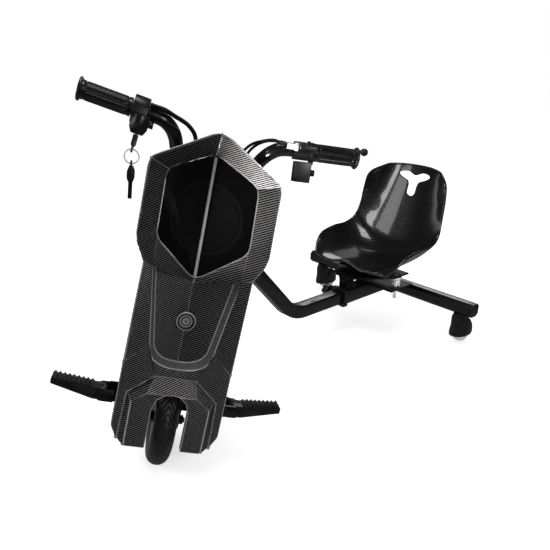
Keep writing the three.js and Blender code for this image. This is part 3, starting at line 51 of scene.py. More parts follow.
# The head's own axes: across, reach ahead of the wheel centre, height along the steering axis
wheelCentre = np.array(jointOf["front_wheel_spin"]["pos_m"])
headAcross = np.array(jointOf["front_wheel_spin"]["axis"])
headUp = np.array(jointOf["steering"]["axis"])
headFront = np.cross(headAcross, headUp)
seatHinge = np.array(jointOf["seat_tilt"]["pos_m"])
rearOrigin = seatHinge - np.array([0, 655, 168]) * mm  # the rear frame's lengths start at the steering axis
gripBar = {"straight": 136, "height": 585, "reach": 67, "end": 246, "rise": 6, "radius": 12.5}


def headSpot(points):
    points = np.asarray(points, float) * mm
    return wheelCentre + points[..., :1] * headAcross + points[..., 1:2] * headFront + points[..., 2:3] * headUp


def rearSpot(points):
    return rearOrigin + np.asarray(points, float) * mm


# A point on the level bar turned up about the inner end of the straight part, as side times across
def barTurn(side, points):
    points = np.asarray(points, float)
    rise = math.radians(gripBar["rise"])
    out = points[..., 0] - gripBar["straight"]
    up = points[..., 2] - gripBar["height"]
    across = side * (gripBar["straight"] + out * math.cos(rise) - up * math.sin(rise))
    height = gripBar["height"] + out * math.sin(rise) + up * math.cos(rise)
    return np.stack([across, points[..., 1], height], -1)


def barSpot(side):
    return lambda points: headSpot(barTurn(side, points))


# Mesh makers
mergeGap = 0.01  # nearer points are one
edgeLook = {"segments": 3, "angle": 28, "flat": 0.6, "sharp": 32}  # all but the first in degrees
wireSide = (0.31, 0.22, 0.92)  # no wire runs along it


def newObject(name, data):
    obj = bpy.data.objects.new(name, data)
    scene.collection.objects.link(obj)
    return obj


def circle(steps):
    return np.linspace(0, 2 * np.pi, steps, endpoint=False)[:, None]


def readShape(mesh):
    shape = bmesh.new()
    shape.from_mesh(mesh)
    bmesh.ops.remove_doubles(shape, verts=shape.verts, dist=mergeGap * mm)
    return shape


def writeShape(shape, mesh):
    for face in shape.faces:
        face.smooth = True
    shape.to_mesh(mesh)
    shape.free()


def readAll(items, key, width, kind=float):
    values = np.empty(len(items) * width, kind)
    items.foreach_get(key, values)
    return values.reshape(-1, width)


# A grid of points as one sheet of quads, closed round where asked, with doubles merged and faces outwards
def gridMesh(name, grid, wrapRows=False, wrapColumns=False, uv=None, outward=True):
    rows, columns = grid.shape[:2]
    i = np.arange(rows if wrapRows else rows - 1)
    j = np.arange(columns if wrapColumns else columns - 1)
    i, j = np.meshgrid(i, j, indexing="ij")
    i2, j2 = (i + 1) % rows, (j + 1) % columns
    corners = np.stack([i * columns + j, i2 * columns + j, i2 * columns + j2, i * columns + j2], -1).reshape(-1, 4)
    mesh = bpy.data.meshes.new(name)
    mesh.vertices.add(rows * columns)
    mesh.vertices.foreach_set("co", grid.reshape(-1))
    mesh.loops.add(corners.size)
    mesh.loops.foreach_set("vertex_index", corners.reshape(-1))
    mesh.polygons.add(len(corners))
    mesh.polygons.foreach_set("loop_start", np.arange(0, corners.size, 4))
    if uv is not None:
        layer = mesh.uv_layers.new(name="weave")
        layer.data.foreach_set("uv", uv.reshape(-1, 2)[corners.reshape(-1)].reshape(-1))
    mesh.update(calc_edges=True)
    mesh.validate()
    shape = readShape(mesh)
    if outward:
        bmesh.ops.recalc_face_normals(shape, faces=shape.faces)
    writeShape(shape, mesh)
    return newObject(name, mesh)


# One more row at either end, straight on
def extended(rows):
    rows = np.asarray(rows, float)
    return np.vstack([2 * rows[0] - rows[1], rows, 2 * rows[-1] - rows[-2]])


# A smooth line through its points: a cubic through each four, whose knots are the square roots of the gaps
def smoothLine(points, perSpan):
    points = extended(points)
    gaps = np.sqrt(np.linalg.norm(np.diff(points, axis=0), axis=1))
    knots = np.concatenate([[0], np.cumsum(gaps)])
    spans = len(points) - 3
    share = np.linspace(0, 1, perSpan, endpoint=False)
    k = np.arange(spans)[:, None]
    t0, t1, t2, t3 = (knots[k + n] for n in range(4))
    t = t1 + (t2 - t1) * share[None, :]
    p0, p1, p2, p3 = (points[k[:, 0] + n][:, None, :] for n in range(4))
    t0, t1, t2, t3, t = (value[..., None] for value in (t0, t1, t2, t3, t))

    def between(low, high, p, q):
        return (high - t) / (high - low) * p + (t - low) / (high - low) * q

    a1, a2, a3 = between(t0, t1, p0, p1), between(t1, t2, p1, p2), between(t2, t3, p2, p3)
    line = between(t1, t2, between(t0, t2, a1, a2), between(t1, t3, a2, a3))
    return np.vstack([line.reshape(-1, 3), points[-2]])


# Round wire along a line: a ring about each point, square to the line, kept from twisting by one fixed side
def wirePiece(name, line, radius, spot, steps, closed=False, side=wireSide):
    line = np.asarray(line, float)
    tangent = np.roll(line, -1, 0) - np.roll(line, 1, 0) if closed else np.gradient(line, axis=0)
    tangent /= np.linalg.norm(tangent, axis=1, keepdims=True)
    first = np.cross(tangent, side)
    first /= np.linalg.norm(first, axis=1, keepdims=True)
    second = np.cross(tangent, first)
    angle = circle(steps)
    grid = line[:, None] + radius * (first[:, None] * np.cos(angle) + second[:, None] * np.sin(angle))
    if not closed:
        # a ring with no width closes each end
        ends = [np.repeat(line[n][None, None], steps, 1) for n in (0, -1)]
        grid = np.concatenate([ends[0], grid, ends[1]])
    return gridMesh(name, spot(grid), wrapRows=closed, wrapColumns=True)


# A turned grid with more columns on either side that are the same all round
def flanked(before, grid, after):
    return np.concatenate([np.tile(before, (len(grid), 1)), grid, np.tile(after, (len(grid), 1))], 1)


def joined(name, parts):
    mesh = bpy.data.meshes.new(name)
    shape = bmesh.new()
    for part in parts:
        shape.from_mesh(part.data)
        bpy.data.objects.remove(part)
    writeShape(shape, mesh)
    return newObject(name, mesh)


def thicken(obj, wall):
    solid = obj.modifiers.new("wall", "SOLIDIFY")
    solid.thickness, solid.offset = wall * mm, -1


# A copy of a CAD node with its flat faces joined again and its hard edges rounded
def softened(node, width, angle=edgeLook["angle"]):
    mesh = frame["nodes"][node].data.copy()
    mesh.name = node + "Shape"
    mesh.materials.clear()
    shape = readShape(mesh)
    bmesh.ops.dissolve_limit(shape, angle_limit=math.radians(edgeLook["flat"]), verts=shape.verts, edges=shape.edges)
    writeShape(shape, mesh)
    obj = newObject(node + "Skin", mesh)
    if width:
        bevel = obj.modifiers.new("edges", "BEVEL")
        bevel.width, bevel.segments = width * mm, edgeLook["segments"]
        bevel.limit_method, bevel.angle_limit = "ANGLE", math.radians(angle)
        bevel.harden_normals = bevel.use_clamp_overlap = True
    return obj


def dress(obj, look, node=None, body=None, sharp=edgeLook["sharp"]):
    obj.data.materials.clear()
    obj.data.materials.append(finish[look])
    if "edges" not in obj.modifiers:
        obj.data.set_sharp_from_angle(angle=math.radians(sharp))
    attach(obj, body or bodyOf[node])
    if node:
        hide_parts(node)


# Materials
nodeStep = 180  # nodes stand in one row of their tree


def feed(node, inputs):
    for key, value in inputs.items():
        if isinstance(value, bpy.types.NodeSocket):
            node.id_data.links.new(value, node.inputs[key])
        else:
            node.inputs[key].default_value = value


def addNode(tree, kind, settings=None, inputs=None):
    node = tree.nodes.new(kind)
    node.location = (len(tree.nodes) * nodeStep, 0)
    for key, value in (settings or {}).items():
        setattr(node, key, value)
    feed(node, inputs or {})
    return node


def mathNode(tree, operation, *values):
    return addNode(tree, "ShaderNodeMath", {"operation": operation}, dict(enumerate(values))).outputs[0]


def rangeNode(tree, value, low=0.0, high=1.0, toLow=0.0, toHigh=1.0, smooth=False):
    kind = "SMOOTHSTEP" if smooth else "LINEAR"
    spans = {0: value, 1: low, 2: high, 3: toLow, 4: toHigh}
    return addNode(tree, "ShaderNodeMapRange", {"interpolation_type": kind}, spans).outputs[0]


def mixColour(tree, share, a, b, kind="MIX"):
    settings = {"data_type": "RGBA", "blend_type": kind}
    return addNode(tree, "ShaderNodeMix", settings, {0: share, 6: a, 7: b}).outputs[2]


def splitVector(tree, vector):
    return addNode(tree, "ShaderNodeSeparateXYZ", None, {0: vector}).outputs


def noiseNode(tree, vector, scale, detail):
    inputs = {"Vector": vector, "Scale": scale, "Detail": detail}
    return addNode(tree, "ShaderNodeTexNoise", None, inputs).outputs[0]


def clearTree(owner):
    owner.use_nodes = True
    owner.node_tree.nodes.clear()
    return owner.node_tree


# A node group: its inputs are numbers with a first value, or vectors where there is none; its outputs are numbers
def newGroup(name, inputs, outputs):
    group = bpy.data.node_groups.new(name, "ShaderNodeTree")
    for label, value in inputs.items():
        kind = "NodeSocketVector" if value is None else "NodeSocketFloat"
        socket = group.interface.new_socket(name=label, in_out="INPUT", socket_type=kind)
        if value is not None:
            socket.default_value = value
    for label in outputs:
        group.interface.new_socket(name=label, in_out="OUTPUT", socket_type="NodeSocketFloat")
    return group, addNode(group, "NodeGroupInput").outputs


# Two by two twill: tows of one width cross over two and under two, so the light ones step up to the right
def makeWeaveGroup():
    group, given = newGroup("carbonWeave", {"Vector": None, "Wide": 0.002, "Tall": 0.002},
                            ["Warp", "Height", "Shade", "Line"])
    spot = splitVector(group, given["Vector"])
    ways = [mathNode(group, "DIVIDE", spot[n], given[label]) for n, label in enumerate(("Wide", "Tall"))]
    column, row = [mathNode(group, "FLOOR", way) for way in ways]
    turn = mathNode(group, "FLOORED_MODULO", mathNode(group, "SUBTRACT", column, row), 4)
    warp = mathNode(group, "LESS_THAN", turn, 1.5)
    # a tow is round across its own width
    crowns = [mathNode(group, "SINE", mathNode(group, "MULTIPLY", mathNode(group, "FRACT", way), math.pi))
              for way in ways]
    height = addNode(group, "ShaderNodeMix", {"data_type": "FLOAT"}, {0: warp, 2: crowns[0], 3: crowns[1]})
    pick = addNode(group, "ShaderNodeCombineXYZ", None, {0: mathNode(group, "MULTIPLY", column, warp), 1: row, 2: warp})
    shade = addNode(group, "ShaderNodeTexWhiteNoise", {"noise_dimensions": "3D"}, {0: pick.outputs[0]})
    # the smooth line that the light tows' steps follow
    phase = mathNode(group, "MULTIPLY_ADD", mathNode(group, "SUBTRACT", *ways), math.pi / 2, -math.pi / 4)
    line = mathNode(group, "MULTIPLY_ADD", mathNode(group, "COSINE", phase), 0.5, 0.5)
    addNode(group, "NodeGroupOutput", None,
            {"Warp": warp, "Height": height.outputs[0], "Shade": shade.outputs[0], "Line": line})
    return group


# Fine moulded or sprayed grain: two sizes of noise
def makeGrainGroup():
    group, given = newGroup("fineGrain", {"Vector": None, "Scale": 900.0}, ["Height", "Cloud"])
    coarse = mathNode(group, "DIVIDE", given["Scale"], 40)
    addNode(group, "NodeGroupOutput", None, {"Height": noiseNode(group, given["Vector"], given["Scale"], 3.0),
                                             "Cloud": noiseNode(group, given["Vector"], coarse, 4.0)})
    return group


# Thin dust that settles on faces that look up
def makeDustGroup():
    group, given = newGroup("settledDust", {"Vector": None, "Amount": 0.1}, ["Mask"])
    facing = splitVector(group, addNode(group, "ShaderNodeNewGeometry").outputs["Normal"])
    up = rangeNode(group, facing[2], 0.3, 0.98, smooth=True)
    patch = mathNode(group, "MULTIPLY", up, noiseNode(group, given["Vector"], 60.0, 5.0))
    addNode(group, "NodeGroupOutput", None, {"Mask": mathNode(group, "MULTIPLY", patch, given["Amount"])})
    return group


weaveGroup = makeWeaveGroup()
grainGroup = makeGrainGroup()
dustGroup = makeDustGroup()


def newMaterial(name, shader):
    material = bpy.data.materials.new(name)
    tree = clearTree(material)
    surface = addNode(tree, "ShaderNodeBsdfPrincipled", None, shader)
    addNode(tree, "ShaderNodeOutputMaterial", None, {0: surface.outputs[0]})
    return material, tree, surface, addNode(tree, "ShaderNodeTexCoord").outputs["Object"]


def addGroup(tree, group, inputs):
    return addNode(tree, "ShaderNodeGroup", {"node_tree": group}, inputs).outputs


def addBump(tree, surface, height, distance, strength):
    inputs = {"Height": height, "Distance": distance, "Strength": strength}
    feed(surface, {"Normal": addNode(tree, "ShaderNodeBump", None, inputs).outputs[0]})


# Solid colour broken up by grain, cloudy variation and dust; one maker serves paint, plastic and rubber
plainLook = {"dusty": (0.04,) * 3, "swing": 0.05, "grain": 1800.0, "depth": 0.03, "specular": 0.5, "dust": 0.1,
             "metal": 0.0, "colourCloud": (0.3, 0.7), "roughCloud": (0.25, 0.75), "strength": 0.5}
blackPaint = {"slot": "satin_black_steel", "dark": (0.0025, 0.0025, 0.0027), "light": (0.005, 0.005, 0.0055),
              "grain": 1400.0, "depth": 0.02}
looks = {
    "satinPaint": blackPaint | {"dusty": (0.04, 0.04, 0.042), "rough": 0.2, "dust": 0.06},
    "mattePaint": blackPaint | {"dusty": (0.02, 0.02, 0.021), "rough": 0.45, "specular": 0.15, "dust": 0.03},
    "blackPlastic": {"slot": "black_plastic", "dark": (0.003,) * 3, "light": (0.006,) * 3,
                     "rough": 0.32, "swing": 0.06, "grain": 2200.0, "specular": 0.45, "dust": 0.06},
    "gripRubber": {"slot": "black_rubber", "dark": (0.003,) * 3, "light": (0.007,) * 3,
                   "rough": 0.3, "dust": 0.08},
    "cableSheath": {"slot": "black_rubber", "dark": (0.002,) * 3, "light": (0.004,) * 3,
                    "dusty": (0.03,) * 3, "rough": 0.34, "grain": 1500.0, "depth": 0.02, "specular": 0.2,
                    "dust": 0.05},
    "tyreRubber": {"slot": "tyre_rubber", "dark": (0.004,) * 3, "light": (0.009, 0.009, 0.0088),
                   "dusty": (0.05, 0.048, 0.046), "rough": 0.36, "swing": 0.08, "grain": 1500.0, "depth": 0.04},
    "ridgePlastic": {"slot": "grey_plastic", "dark": (0.16, 0.16, 0.162), "light": (0.22, 0.22, 0.222),
                     "dusty": (0.3,) * 3, "rough": 0.3, "dust": 0.05},
    "greyPlastic": {"slot": "grey_plastic", "dark": (0.3, 0.3, 0.31), "light": (0.38, 0.38, 0.39),
                    "dusty": (0.5,) * 3, "rough": 0.35},
    "nylonWhite": {"slot": "white_plastic", "dark": (0.72, 0.72, 0.7), "light": (0.82, 0.82, 0.8),
                   "dusty": (0.6, 0.6, 0.58), "rough": 0.4, "swing": 0.06, "grain": 1200.0, "depth": 0.04},
    "zincPlate": {"slot": "zinc_steel", "dark": (0.7, 0.71, 0.7), "light": (0.95, 0.96, 0.94),
                  "dusty": (0.5, 0.5, 0.48), "rough": 0.26, "swing": 0.08, "grain": 2600.0, "metal": 0.4, "dust": 0.05},
}


def makeGrainMaterial(name, look):
    shader = {"Specular IOR Level": look["specular"], "Metallic": look["metal"]}
    material, tree, surface, place = newMaterial(name, shader)
    grain = addGroup(tree, grainGroup, {"Vector": place, "Scale": look["grain"]})
    dust = addGroup(tree, dustGroup, {"Vector": place, "Amount": look["dust"]})
    dark, light, dusty = (look[key] + (1,) for key in ("dark", "light", "dusty"))
    colour = mixColour(tree, rangeNode(tree, grain["Cloud"], *look["colourCloud"]), dark, light)
    rough = rangeNode(tree, grain["Cloud"], *look["roughCloud"], look["rough"] - look["swing"],
                      look["rough"] + look["swing"])
    feed(surface, {"Base Color": mixColour(tree, dust["Mask"], colour, dusty), "Roughness": rough})
    addBump(tree, surface, grain["Height"], look["depth"] * mm, look["strength"])
    return material


finish = {name: makeGrainMaterial(name, plainLook | look) for name, look in looks.items()}

# The tow's sizes are in millimetres; crown is how far only the stripes' crests are light; the edge share is a painted
# highlight that mixes the skins' marked bevels, creases and channel walls towards a light grey
weaveLooks = {
    "carbonShell": {"light": (0.34, 0.34, 0.343), "tow": (1.75, 1.1), "depth": 0.3, "rough": (0.34, 0.44),
                    "coat": 0.04, "coatRough": 0.1, "specular": 0.05, "paintedEdgeLight": 0.7, "crown": 1.0, "dust": 0.03},
    "carbonSeat": {"light": (0.075, 0.075, 0.076), "tow": (2.2, 2.2), "depth": 0.03, "rough": (0.22, 0.3),
                   "coat": 1.0, "coatRough": 0.05, "specular": 0.2, "paintedEdgeLight": 0.2, "crown": 0.0, "dust": 0.04},
}
weaveBase = {"dark": (0.001, 0.001, 0.001, 1), "dusty": (0.2, 0.2, 0.2, 1), "paintedEdgeColour": (0.5, 0.5, 0.5, 1),
             "metal": 0.95, "grain": 700.0, "grainShare": 0.15, "stripe": (0.55, 0.95), "shade": (0.45, 0.7),
             "strength": 0.5}


def makeCarbon(name, look):
    shader = {"Coat Weight": look["coat"], "Coat Roughness": look["coatRough"], "Specular IOR Level": look["specular"]}
    material, tree, surface, place = newMaterial(name, shader)
    face = addNode(tree, "ShaderNodeUVMap", {"uv_map": "weave"})
    wide, tall = look["tow"]
    weave = addGroup(tree, weaveGroup, {"Vector": face.outputs[0], "Wide": wide * mm, "Tall": tall * mm})
    grain = addGroup(tree, grainGroup, {"Vector": place, "Scale": look["grain"]})
    dust = addGroup(tree, dustGroup, {"Vector": place, "Amount": look["dust"]})
    shade = mathNode(tree, "MULTIPLY_ADD", weave["Shade"], *look["shade"])
    crest = rangeNode(tree, weave["Line"], *look["stripe"], 1 - look["crown"], 1.0)
    light = mixColour(tree, 1.0, look["light"] + (1,), mathNode(tree, "MULTIPLY", shade, crest), "MULTIPLY")
    lit = mathNode(tree, "MAXIMUM", weave["Warp"], look["crown"])
    colour = mixColour(tree, dust["Mask"], mixColour(tree, lit, look["dark"], light), look["dusty"])
    # painted highlight: faces marked in the skins' edge attribute are mixed towards a light grey
    edge = addNode(tree, "ShaderNodeAttribute", {"attribute_name": "edge"})
    paintedEdgeLight = mathNode(tree, "MULTIPLY", edge.outputs["Fac"], look["paintedEdgeLight"])
    low, high = look["rough"]
    feed(surface, {"Base Color": mixColour(tree, paintedEdgeLight, colour, look["paintedEdgeColour"]),
                   "Roughness": rangeNode(tree, weave["Warp"], toLow=high, toHigh=low),
                   "Metallic": mathNode(tree, "MULTIPLY", weave["Warp"], look["metal"])})
    height = mathNode(tree, "MULTIPLY_ADD", grain["Height"], look["grainShare"], weave["Height"])
    addBump(tree, surface, height, look["depth"] * mm, look["strength"])
    return material


for weaveName, weaveLook in weaveLooks.items():
    finish[weaveName] = makeCarbon(weaveName, weaveBase | weaveLook)

ringLooks = {
    # smoked gloss panel: the lamp's ring behind it shows as a faint lighter circle
    "smokedGloss": {"slot": "gloss_black_plastic", "centre": (0, 0, 428), "rings": [(64, 3.5)], "inside": 60,
                    "fill": 0.35, "dark": (0.0025, 0.0025, 0.0027), "light": (0.006, 0.006, 0.0063),
                    "rough": (0.08, 0.2), "specular": 0.08},
    # the boss stands out by three turned rings
    "ringedBoss": {"slot": "satin_black_steel", "centre": (0, 0, 233), "rings": [(17.5, 1.8), (11, 1.4), (5, 1.6)],
                   "inside": 8, "fill": 0.25, "dark": (0.006,) * 3, "light": (0.3,) * 3,
                   "rough": (0.25, 0.35), "specular": 0.5},
}
ringBase = {"blur": (0.8, 1.2), "grain": 500.0, "depth": 0.01, "strength": 0.3}


# Round lines of a lighter tone about a point of the head
def makeRingMaterial(name, look):
    material, tree, surface, place = newMaterial(name, {"Specular IOR Level": look["specular"]})
    centre = tuple(headSpot([look["centre"]])[0])
    away = addNode(tree, "ShaderNodeVectorMath", {"operation": "SUBTRACT"}, {0: place, 1: centre})
    squares = []
    for axis in (headAcross, headUp):
        dot = addNode(tree, "ShaderNodeVectorMath", {"operation": "DOT_PRODUCT"}, {0: away.outputs[0], 1: tuple(axis)})
        squares.append(mathNode(tree, "POWER", dot.outputs[1], 2.0))
    radius = mathNode(tree, "SQRT", mathNode(tree, "ADD", *squares))
    inner, outer = (look["inside"] * blur * mm for blur in look["blur"])
    share = rangeNode(tree, radius, inner, outer, look["fill"], 0.0, smooth=True)
    for size, width in look["rings"]:
        off = mathNode(tree, "ABSOLUTE", mathNode(tree, "SUBTRACT", radius, size * mm))
        share = mathNode(tree, "MAXIMUM", share, rangeNode(tree, off, 0.0, width * mm, 1.0, 0.0, smooth=True))
    grain = addGroup(tree, grainGroup, {"Vector": place, "Scale": look["grain"]})
    low, high = look["rough"]
    feed(surface, {"Base Color": mixColour(tree, share, look["dark"] + (1,), look["light"] + (1,)),
                   "Roughness": rangeNode(tree, grain["Cloud"], toLow=low, toHigh=high)})
    addBump(tree, surface, grain["Height"], look["depth"] * mm, look["strength"])
    return material


for ringName, ringLook in ringLooks.items():
    finish[ringName] = makeRingMaterial(ringName, ringBase | ringLook)
print("materials made")

# Fairing and mudguard skins: corners as [across, height, reach], the faces of the half seen from the front
# the crease and wall shares are how much painted highlight the skins' creases and channel walls get
skinBase = {"wall": 3, "edge": 1.6, "crease": 1.2, "cornerSteps": 6, "fill": 0.244, "handle": 0.53, "bent": 7,
            "sharp": 38, "ahead": 0.3, "creases": {}, "walls": {}}
fairing = skinBase | {
    "depth": 26, "creasePaintedLight": 0.4, "wallPaintedLight": 0.3,
    "points": {
        "crest": [0, 588, 50], "shoulder": [119, 516, 99], "hip": [119, 377, 125], "wing": [99, 340, 121],
        "flank": [102, 150, 102], "skirt": [104, 15, 95], "toe": [89, -14, 93], "notch": [85, 87, 97],
        "brow": [39, 125, 96], "browMiddle": [0, 125, 96],
        "windowTop": [0, 547, 17], "windowUpper": [85, 503, 60], "windowLower": [84, 384.5, 101],
        "windowFoot": [0, 313, 62],
        "rimUpper": [80, 331, 106], "rimLower": [59.5, 186, 102.5], "rimSide": [56, 170, 101.5],
        "rimTurn": [48, 158, 99.5], "rimCorner": [36, 150.5, 97.7], "rimFoot": [20, 145.5, 95.5],
        "rimMiddle": [0, 143.5, 94],
        "floorTop": [0, 307, 59], "floorUpper": [74, 326, 79], "floorLower": [53.5, 189, 76.5],
        "floorSide": [50.5, 175, 75.5], "floorTurn": [43, 164, 73.5], "floorCorner": [32, 156, 71.5],
        "floorToe": [18, 151, 68], "floorFoot": [0, 148.5, 64],
    },
    "faces": [
        ["crest", "windowTop", "windowUpper", "shoulder"], ["shoulder", "windowUpper", "windowLower", "hip"],
        ["hip", "windowLower", "rimUpper", "wing"],
        ["windowFoot", "floorTop", "floorUpper", "rimUpper", "windowLower"],
        ["rimUpper", "floorUpper", "floorLower", "rimLower"], ["rimLower", "floorLower", "floorSide", "rimSide"],
        ["rimSide", "floorSide", "floorTurn", "rimTurn"], ["rimTurn", "floorTurn", "floorCorner", "rimCorner"],
        ["rimCorner", "floorCorner", "floorToe", "rimFoot"], ["rimFoot", "floorToe", "floorFoot", "rimMiddle"],
        ["floorTop", "floorFoot", "floorToe", "floorCorner", "floorTurn", "floorSide", "floorLower", "floorUpper"],
        ["wing", "rimUpper", "rimLower", "flank"], ["rimLower", "rimSide", "rimTurn", "rimCorner", "brow"],
        ["rimCorner", "rimFoot", "rimMiddle", "browMiddle", "brow"], ["rimLower", "brow", "notch", "flank"],
        ["flank", "notch", "toe", "skirt"],
    ],
    "corners": {"crest": 26, "shoulder": 19, "hip": 13, "toe": 6, "skirt": 6, "windowTop": 26, "windowUpper": 24,
                "windowLower": 20, "windowFoot": 26},
    "creases": {"crest": ["windowTop"], "shoulder": ["windowUpper"], "hip": ["windowLower"],
                "windowTop": ["crest"], "windowUpper": ["shoulder"], "windowLower": ["hip", "rimUpper"],
                "windowFoot": ["floorTop"]},
    "walls": {"windowTop": 8, "windowUpper": 8, "windowLower": 8, "windowFoot": 8},
}
guard = skinBase | {
    "depth": 18, "creasePaintedLight": 0.7, "wallPaintedLight": 0.0,
    "points": {
        "top": [0, 124.2, 89], "topCorner": [39, 124.2, 89], "shoulder": [84.2, 86.2, 91],
        "edgeFoot": [88.2, -13, 91], "crease": [47, 91, 101], "faceTop": [75, 71, 101], "faceFoot": [75, -22, 101],
        "archFoot": [34.5, -22, 101], "archSide": [34.5, 60, 101], "archShoulder": [28, 79, 101],
        "archCorner": [14, 90, 101], "archTop": [0, 92, 101],
    },
    "faces": [
        ["top", "archTop", "archCorner", "crease", "topCorner"], ["topCorner", "crease", "faceTop", "shoulder"],
        ["shoulder", "faceTop", "faceFoot", "edgeFoot"],
        ["crease", "archCorner", "archShoulder", "archSide", "faceTop"],
        ["faceTop", "archSide", "archFoot", "faceFoot"],
    ],
    "corners": {"edgeFoot": 5, "faceFoot": 5},
}


# Weave coordinates: a face that looks ahead is read across and up, any other along the reach and up
def layWeave(mesh):
    total = readAll(mesh.polygons, "loop_total", 1, int)[:, 0]
    index = readAll(mesh.loops, "vertex_index", 1, int)[:, 0]
    ahead = np.repeat(np.abs(readAll(mesh.polygons, "normal", 3) @ headFront) > skinBase["ahead"], total)
    spots = readAll(mesh.vertices, "co", 3)[index] - wheelCentre
    u = np.where(ahead, spots @ headAcross, spots @ headFront)
    mesh.uv_layers.new(name="weave").data.foreach_set("uv", np.stack([u, spots @ headUp], -1).reshape(-1))


# The points that round a corner of a face: from the rim on one side to the crease, or on to the other rim
def roundedCorner(plan, label, before, after):
    corner, reach = np.array(plan["points"][label], float), plan["corners"][label]
    creases = plan["creases"].get(label, [])
    share = np.linspace(0, 1, plan["cornerSteps"] + 1)[:, None]

    def along(other):
        way = np.array(plan["points"][other], float) - corner
        return way / np.linalg.norm(way)

    def curve(first, handle, last):
        return (1 - share) ** 2 * first + 2 * share * (1 - share) * handle + share ** 2 * last

    if not creases:
        return curve(corner + reach * along(before), corner, corner + reach * along(after))
    # a hole's corner is filled and an outer corner is cut away, both along the crease
    way = sum(along(crease) for crease in creases)
    way[0] = 0 if corner[0] == 0 else way[0]
    middle = corner + plan["fill"] * reach * way / np.linalg.norm(way) * (-1 if label.startswith("window") else 1)
    rims = [other for other in (before, after) if other not in creases]
    if not rims:
        return middle[None]
    arc = curve(corner + reach * along(rims[0]), corner + plan["handle"] * reach * along(rims[0]), middle)
    return arc if rims[0] == before else arc[::-1]


# A faceted skin: both halves of the faces, the named corners rounded off, its free edges turned back and softened
def facetSkin(name, plan):
    shape = bmesh.new()
    # the edge layer marks the faces that the carbon material paints lighter, a painted highlight
    paintedEdgeLight = shape.faces.layers.float.new("edge")
    made = {}

    def vertexAt(spot, deep):
        key = tuple(np.round(spot, 3))
        if key not in made:
            made[key] = shape.verts.new(headSpot([[spot[0], spot[2], spot[1]]])[0]), deep
        return made[key][0]

    # the new rounded faces get the given share of painted highlight
    def roundEdges(edges, width, segments, clamp, share):
        fresh = bmesh.ops.bevel(shape, geom=edges, offset=width * mm, offset_type="OFFSET", segments=segments,
                                profile=0.5, affect="EDGES", clamp_overlap=clamp)
        for face in fresh["faces"]:
            face[paintedEdgeLight] = share

    for face in plan["faces"]:
        rows = []
        for n, label in enumerate(face):
            spots = np.array([plan["points"][label]], float)
            if label in plan["corners"]:
                spots = roundedCorner(plan, label, face[n - 1], face[(n + 1) % len(face)])
            rows += [(spot, plan["walls"].get(label, plan["depth"])) for spot in spots]
        pieces = [rows]
        if len(face) == 4 and all(label in plan["creases"] for label in face):
            # a facet between the outer rim and the window is a strip of quads from rim to rim
            half = len(rows) // 4
            outer = rows[half - 1::-1] + rows[:3 * half - 1:-1]
            inner = rows[half:3 * half]
            pieces = [[outer[n], inner[n], inner[n + 1], outer[n + 1]] for n in range(2 * half - 1)]
        # the channel's walls run from its rim to its floor, and get a painted highlight that lightens them
        isWall = len(face) == 4 and {label[:3] for label in face} == {"rim", "flo"}
        for piece in pieces:
            for side, half in ((1, piece), (-1, piece[::-1])):
                fresh = shape.faces.new([vertexAt(spot * (side, 1, 1), deep) for spot, deep in half])
                fresh[paintedEdgeLight] = plan["wallPaintedLight"] * isWall
    depthOf = {vertex: deep for vertex, deep in made.values()}
    tallest = max((vertex.co - Vector(wheelCentre)).dot(Vector(headUp)) for vertex in shape.verts)
    rims = [edge for edge in shape.edges if edge.is_boundary]
    turned = {}
    for edge in rims:
        for vertex in edge.verts:
            if vertex not in turned:
                turned[vertex] = shape.verts.new(vertex.co - Vector(headFront) * depthOf[vertex] * mm)
    for edge in rims:
        loop = edge.link_loops[0]
        a, b = loop.vert, loop.link_loop_next.vert
        shape.faces.new([b, a, turned[a], turned[b]])
    shape.normal_update()
    bent, sharp = math.radians(plan["bent"]), math.radians(plan["sharp"])
    creased = [edge for edge in shape.edges if edge.is_manifold and bent < edge.calc_face_angle() < sharp
               and not all(vertex in turned for vertex in edge.verts)]
    roundEdges(creased, plan["crease"], 2, True, plan["creasePaintedLight"])
    hard = [edge for edge in shape.edges if edge.is_manifold and edge.calc_face_angle() > sharp]
    roundEdges(hard, plan["edge"], 3, False, 1.0)
    mesh = bpy.data.meshes.new(name)
    writeShape(shape, mesh)
    mesh.validate()
    # the softened edges of the topmost corner stay below it
    spots = readAll(mesh.vertices, "co", 3)
    over = np.maximum((spots - wheelCentre) @ headUp - tallest, 0)
    mesh.vertices.foreach_set("co", (spots - over[:, None] * headUp).reshape(-1))
    layWeave(mesh)
    obj = newObject(name, mesh)
    thicken(obj, plan["wall"])
    obj.modifiers.new("shading", "WEIGHTED_NORMAL").keep_sharp = True
    return obj


dress(facetSkin("fairingSkin", fairing), "carbonShell", "front_fairing")
dress(facetSkin("mudguardSkin", guard), "carbonShell", "front_mudguard")
dress(softened("lamp_panel", 1.0, 10), "smokedGloss", "lamp_panel")
dress(softened("panel_ridge", 1.2), "ridgePlastic", "panel_ridge")
print("fairing made")

# Tyre: half round section, with curved chevron grooves pressed in; shares run from 0 on the crown to 1 at the side
tyre = {"radius": 97, "half": 23.5, "crown": 23.5, "rim": 60, "rimHalf": 19, "grooves": 40, "depth": 2.4,
        "sideDepth": 0.5, "sweep": 3.2, "curve": 0.8, "width": 0.2, "end": 0.86, "fade": 0.12, "middle": 0.05,
        "middleDepth": 0.25, "steps": 828, "sides": 44}


